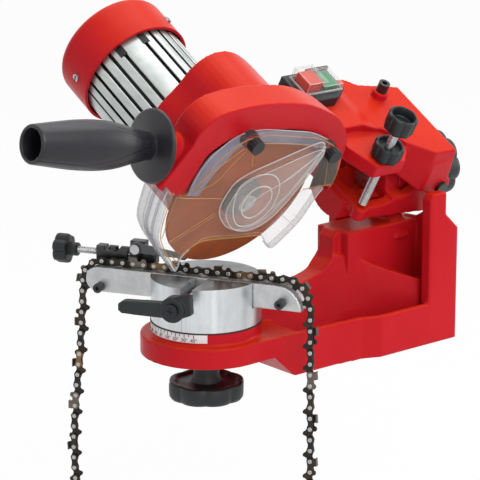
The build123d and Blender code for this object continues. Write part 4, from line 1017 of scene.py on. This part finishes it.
def scale_marks():
    """Degree ticks and tens, wrapped on the white strip."""
    verts, faces = [], []

    def wrap(x, z):
        a = math.radians(SCALE_ZERO) + x / SCALE_R
        return T(SCALE_R * math.cos(a), SCALE_R * math.sin(a), z)

    for k in range(-50, 45, 5):
        x = math.radians(k) * SCALE_R
        foot = TICK_TOP - (3.1 if k % 10 == 0 else 2.0)
        half = 0.26
        base = len(verts)
        verts += [wrap(x - half, foot), wrap(x + half, foot), wrap(x + half, TICK_TOP),
                  wrap(x - half, TICK_TOP)]
        faces.append((base, base + 1, base + 2, base + 3))
    for k in range(-40, 50, 10):
        me = text_mesh(str(abs(k)) + "\u00b0", FIGURE)
        base = len(verts)
        x0 = math.radians(k) * SCALE_R
        for v in me.vertices:
            verts.append(wrap(x0 + v.co.x, FIGURE_Z + v.co.y))
        faces += [tuple(base + i for i in p.vertices) for p in me.polygons]
    me = bpy.data.meshes.new("scale_marks")
    me.from_pydata([tuple(v) for v in verts], [], faces)
    me = through(me, ("SOLIDIFY", {"thickness": 0.0001, "offset": 0.0}))
    place("scale_marks", me, INK, "base", ())


scale_marks()
# Painted shadow: a thin dark ring where the turntable's shadow falls on the base ring above the scale.
SHADOW_RING = [(47.6, 48.7), (48.75, 48.7), (48.75, 49.5), (47.6, 49.5), (47.6, 48.7)]
lathe("ring_shadow_line", SHADOW_RING, T(0, 0, 0), UPZ,
      plastic("shadow_dark", (46, 22, 24), (0.5, 0.6), 0.02), "base", (), 96)


def edge_beads(node, radius, mat, body):
    """Beads along the sharp edges of a clear piece, in a whitish material that paints the highlights on
    those edges.
    """
    bm = bmesh.new()
    bm.from_mesh(NODES[node].data)
    bmesh.ops.remove_doubles(bm, verts=bm.verts, dist=2e-5)
    verts, faces = [], []
    for e in bm.edges:
        if len(e.link_faces) != 2 or e.calc_face_angle(0) < 0.5 or e.calc_length() < 0.003:
            continue
        a, b = e.verts[0].co, e.verts[1].co
        along = (b - a).normalized()
        side = along.cross(Vector((0.3, 0.5, 0.81))).normalized()
        other = along.cross(side)
        base = len(verts)
        for end in (a, b):
            for k in range(6):
                t = math.pi * k / 3
                verts.append(end + (side * math.cos(t) + other * math.sin(t)) * (radius / 1000))
        faces += band(base, 6)
        faces += [tuple(base + k for k in range(5, -1, -1)), tuple(base + 6 + k for k in range(6))]
    bm.free()
    place(node + "_edges", solid(verts, faces), mat, body, ())


edge_beads("splash_cover", 0.3, CLEAR_HIGHLIGHT, "head")


# ------------------------------------------------------------------- stage
def background_rays(tree):
    """1 for rays that should meet the white background."""
    path = add(tree, "ShaderNodeLightPath")
    last = path.outputs["Is Camera Ray"]
    for kind in ("Is Glossy Ray", "Is Transmission Ray"):
        most = add(tree, "ShaderNodeMath", operation="MAXIMUM")
        tree.links.new(last, most.inputs[0])
        tree.links.new(path.outputs[kind], most.inputs[1])
        last = most.outputs[0]
    return last


WORLD_LIGHT = 0.50        # soft light on the object; the background behind it is 1
FLOOR_WHITE = 0.95        # share of white that the floor adds for background rays
FLOOR_HALF = 6.0
LIGHTS = (
    # name, place, aim, size, watts
    ("key", (-0.2, -1.3, 1.3), (0, 0, 0.12), (1.2, 0.9), 12),
    ("front", (-0.75, -1.45, 0.45), (0, 0, 0.1), (0.4, 0.9), 3),
    ("top", (0.3, 0.2, 1.6), (0, 0, 0.12), (1.6, 1.2), 12),
    ("fill", (1.4, -0.6, 0.6), (0, 0, 0.12), (1.0, 1.0), 6),
)


def area(name, loc, target, size, power):
    light = bpy.data.lights.new(name, "AREA")
    light.shape = "RECTANGLE"
    light.size, light.size_y = size
    light.energy = power
    ob = bpy.data.objects.new(name, light)
    ob.location = loc
    ob.rotation_mode = "QUATERNION"
    ob.rotation_quaternion = (Vector(target) - Vector(loc)).to_track_quat("-Z", "Y")
    bpy.context.scene.collection.objects.link(ob)


def stage():
    """White surroundings, a pale floor that keeps the shadow, and four soft lights."""
    scene = bpy.context.scene
    scene.view_settings.view_transform = "Standard"
    world = bpy.data.worlds.new("studio")
    scene.world = world
    world.use_nodes = True
    nt = world.node_tree
    nt.nodes.clear()
    out, mix = add(nt, "ShaderNodeOutputWorld"), add(nt, "ShaderNodeMixShader")
    nt.links.new(background_rays(nt), mix.inputs[0])
    for i, strength in ((1, WORLD_LIGHT), (2, 1.0)):
        light = add(nt, "ShaderNodeBackground", Color=(1, 1, 1, 1), Strength=strength)
        nt.links.new(light.outputs[0], mix.inputs[i])
    nt.links.new(mix.outputs[0], out.inputs[0])

    bm = bmesh.new()
    z = CAD_BOX[0].z - 0.0005
    for x, y in ((-1, -1), (1, -1), (1, 1), (-1, 1)):
        bm.verts.new((x * FLOOR_HALF, y * FLOOR_HALF, z))
    bm.faces.new(bm.verts)
    me = bpy.data.meshes.new("floor")
    bm.to_mesh(me)
    bm.free()
    floor = bpy.data.objects.new("floor", me)
    scene.collection.objects.link(floor)
    m = bpy.data.materials.new("floor_white")
    m.use_nodes = True
    t = m.node_tree
    t.nodes.clear()
    out, mix = add(t, "ShaderNodeOutputMaterial"), add(t, "ShaderNodeMixShader")
    matt = add(t, "ShaderNodeBsdfDiffuse", Color=(0.86, 0.86, 0.86, 1))
    glow = add(t, "ShaderNodeEmission", Strength=1.0)
    share = add(t, "ShaderNodeMath", operation="MULTIPLY")
    share.inputs[1].default_value = FLOOR_WHITE
    t.links.new(background_rays(t), share.inputs[0])
    t.links.new(share.outputs[0], mix.inputs[0])
    t.links.new(matt.outputs[0], mix.inputs[1])
    t.links.new(glow.outputs[0], mix.inputs[2])
    t.links.new(mix.outputs[0], out.inputs[0])
    floor.data.materials.append(m)

    for light in LIGHTS:
        area(*light)


AZIMUTH, ELEVATION = math.radians(-40.0), math.radians(15.3)
DISTANCE = 2200.0            # millimetres from the camera to the middle of the table top
PIXELS_PER_MM = 1.157        # at the table top
TABLE_TOP = (0, 0, 88.0)
CENTRE_OFFSET = (34.0, 35.0)  # picture's middle from the table top's, right and up, in pixels
PICTURE = 480.0


def camera():
    """The photograph's viewing angle and frame."""
    f = Vector((-math.sin(AZIMUTH) * math.cos(ELEVATION), math.cos(AZIMUTH) * math.cos(ELEVATION),
                -math.sin(ELEVATION)))
    r = Vector((math.cos(AZIMUTH), math.sin(AZIMUTH), 0))
    up = r.cross(f)
    right, rise = (v / PIXELS_PER_MM for v in CENTRE_OFFSET)
    at = Vector(TABLE_TOP) - f * DISTANCE + r * right + up * rise
    cam = bpy.data.cameras.new("camera")
    cam.sensor_width = 36.0
    cam.lens = DISTANCE * PIXELS_PER_MM * cam.sensor_width / PICTURE
    cam.clip_start, cam.clip_end = 0.05, 50
    ob = bpy.data.objects.new("camera", cam)
    bpy.context.scene.collection.objects.link(ob)
    rot = Matrix((r, up, -f)).transposed()
    ob.matrix_world = Matrix.Translation(T(*at)) @ rot.to_4x4()
    bpy.context.scene.camera = ob


stage()
camera()
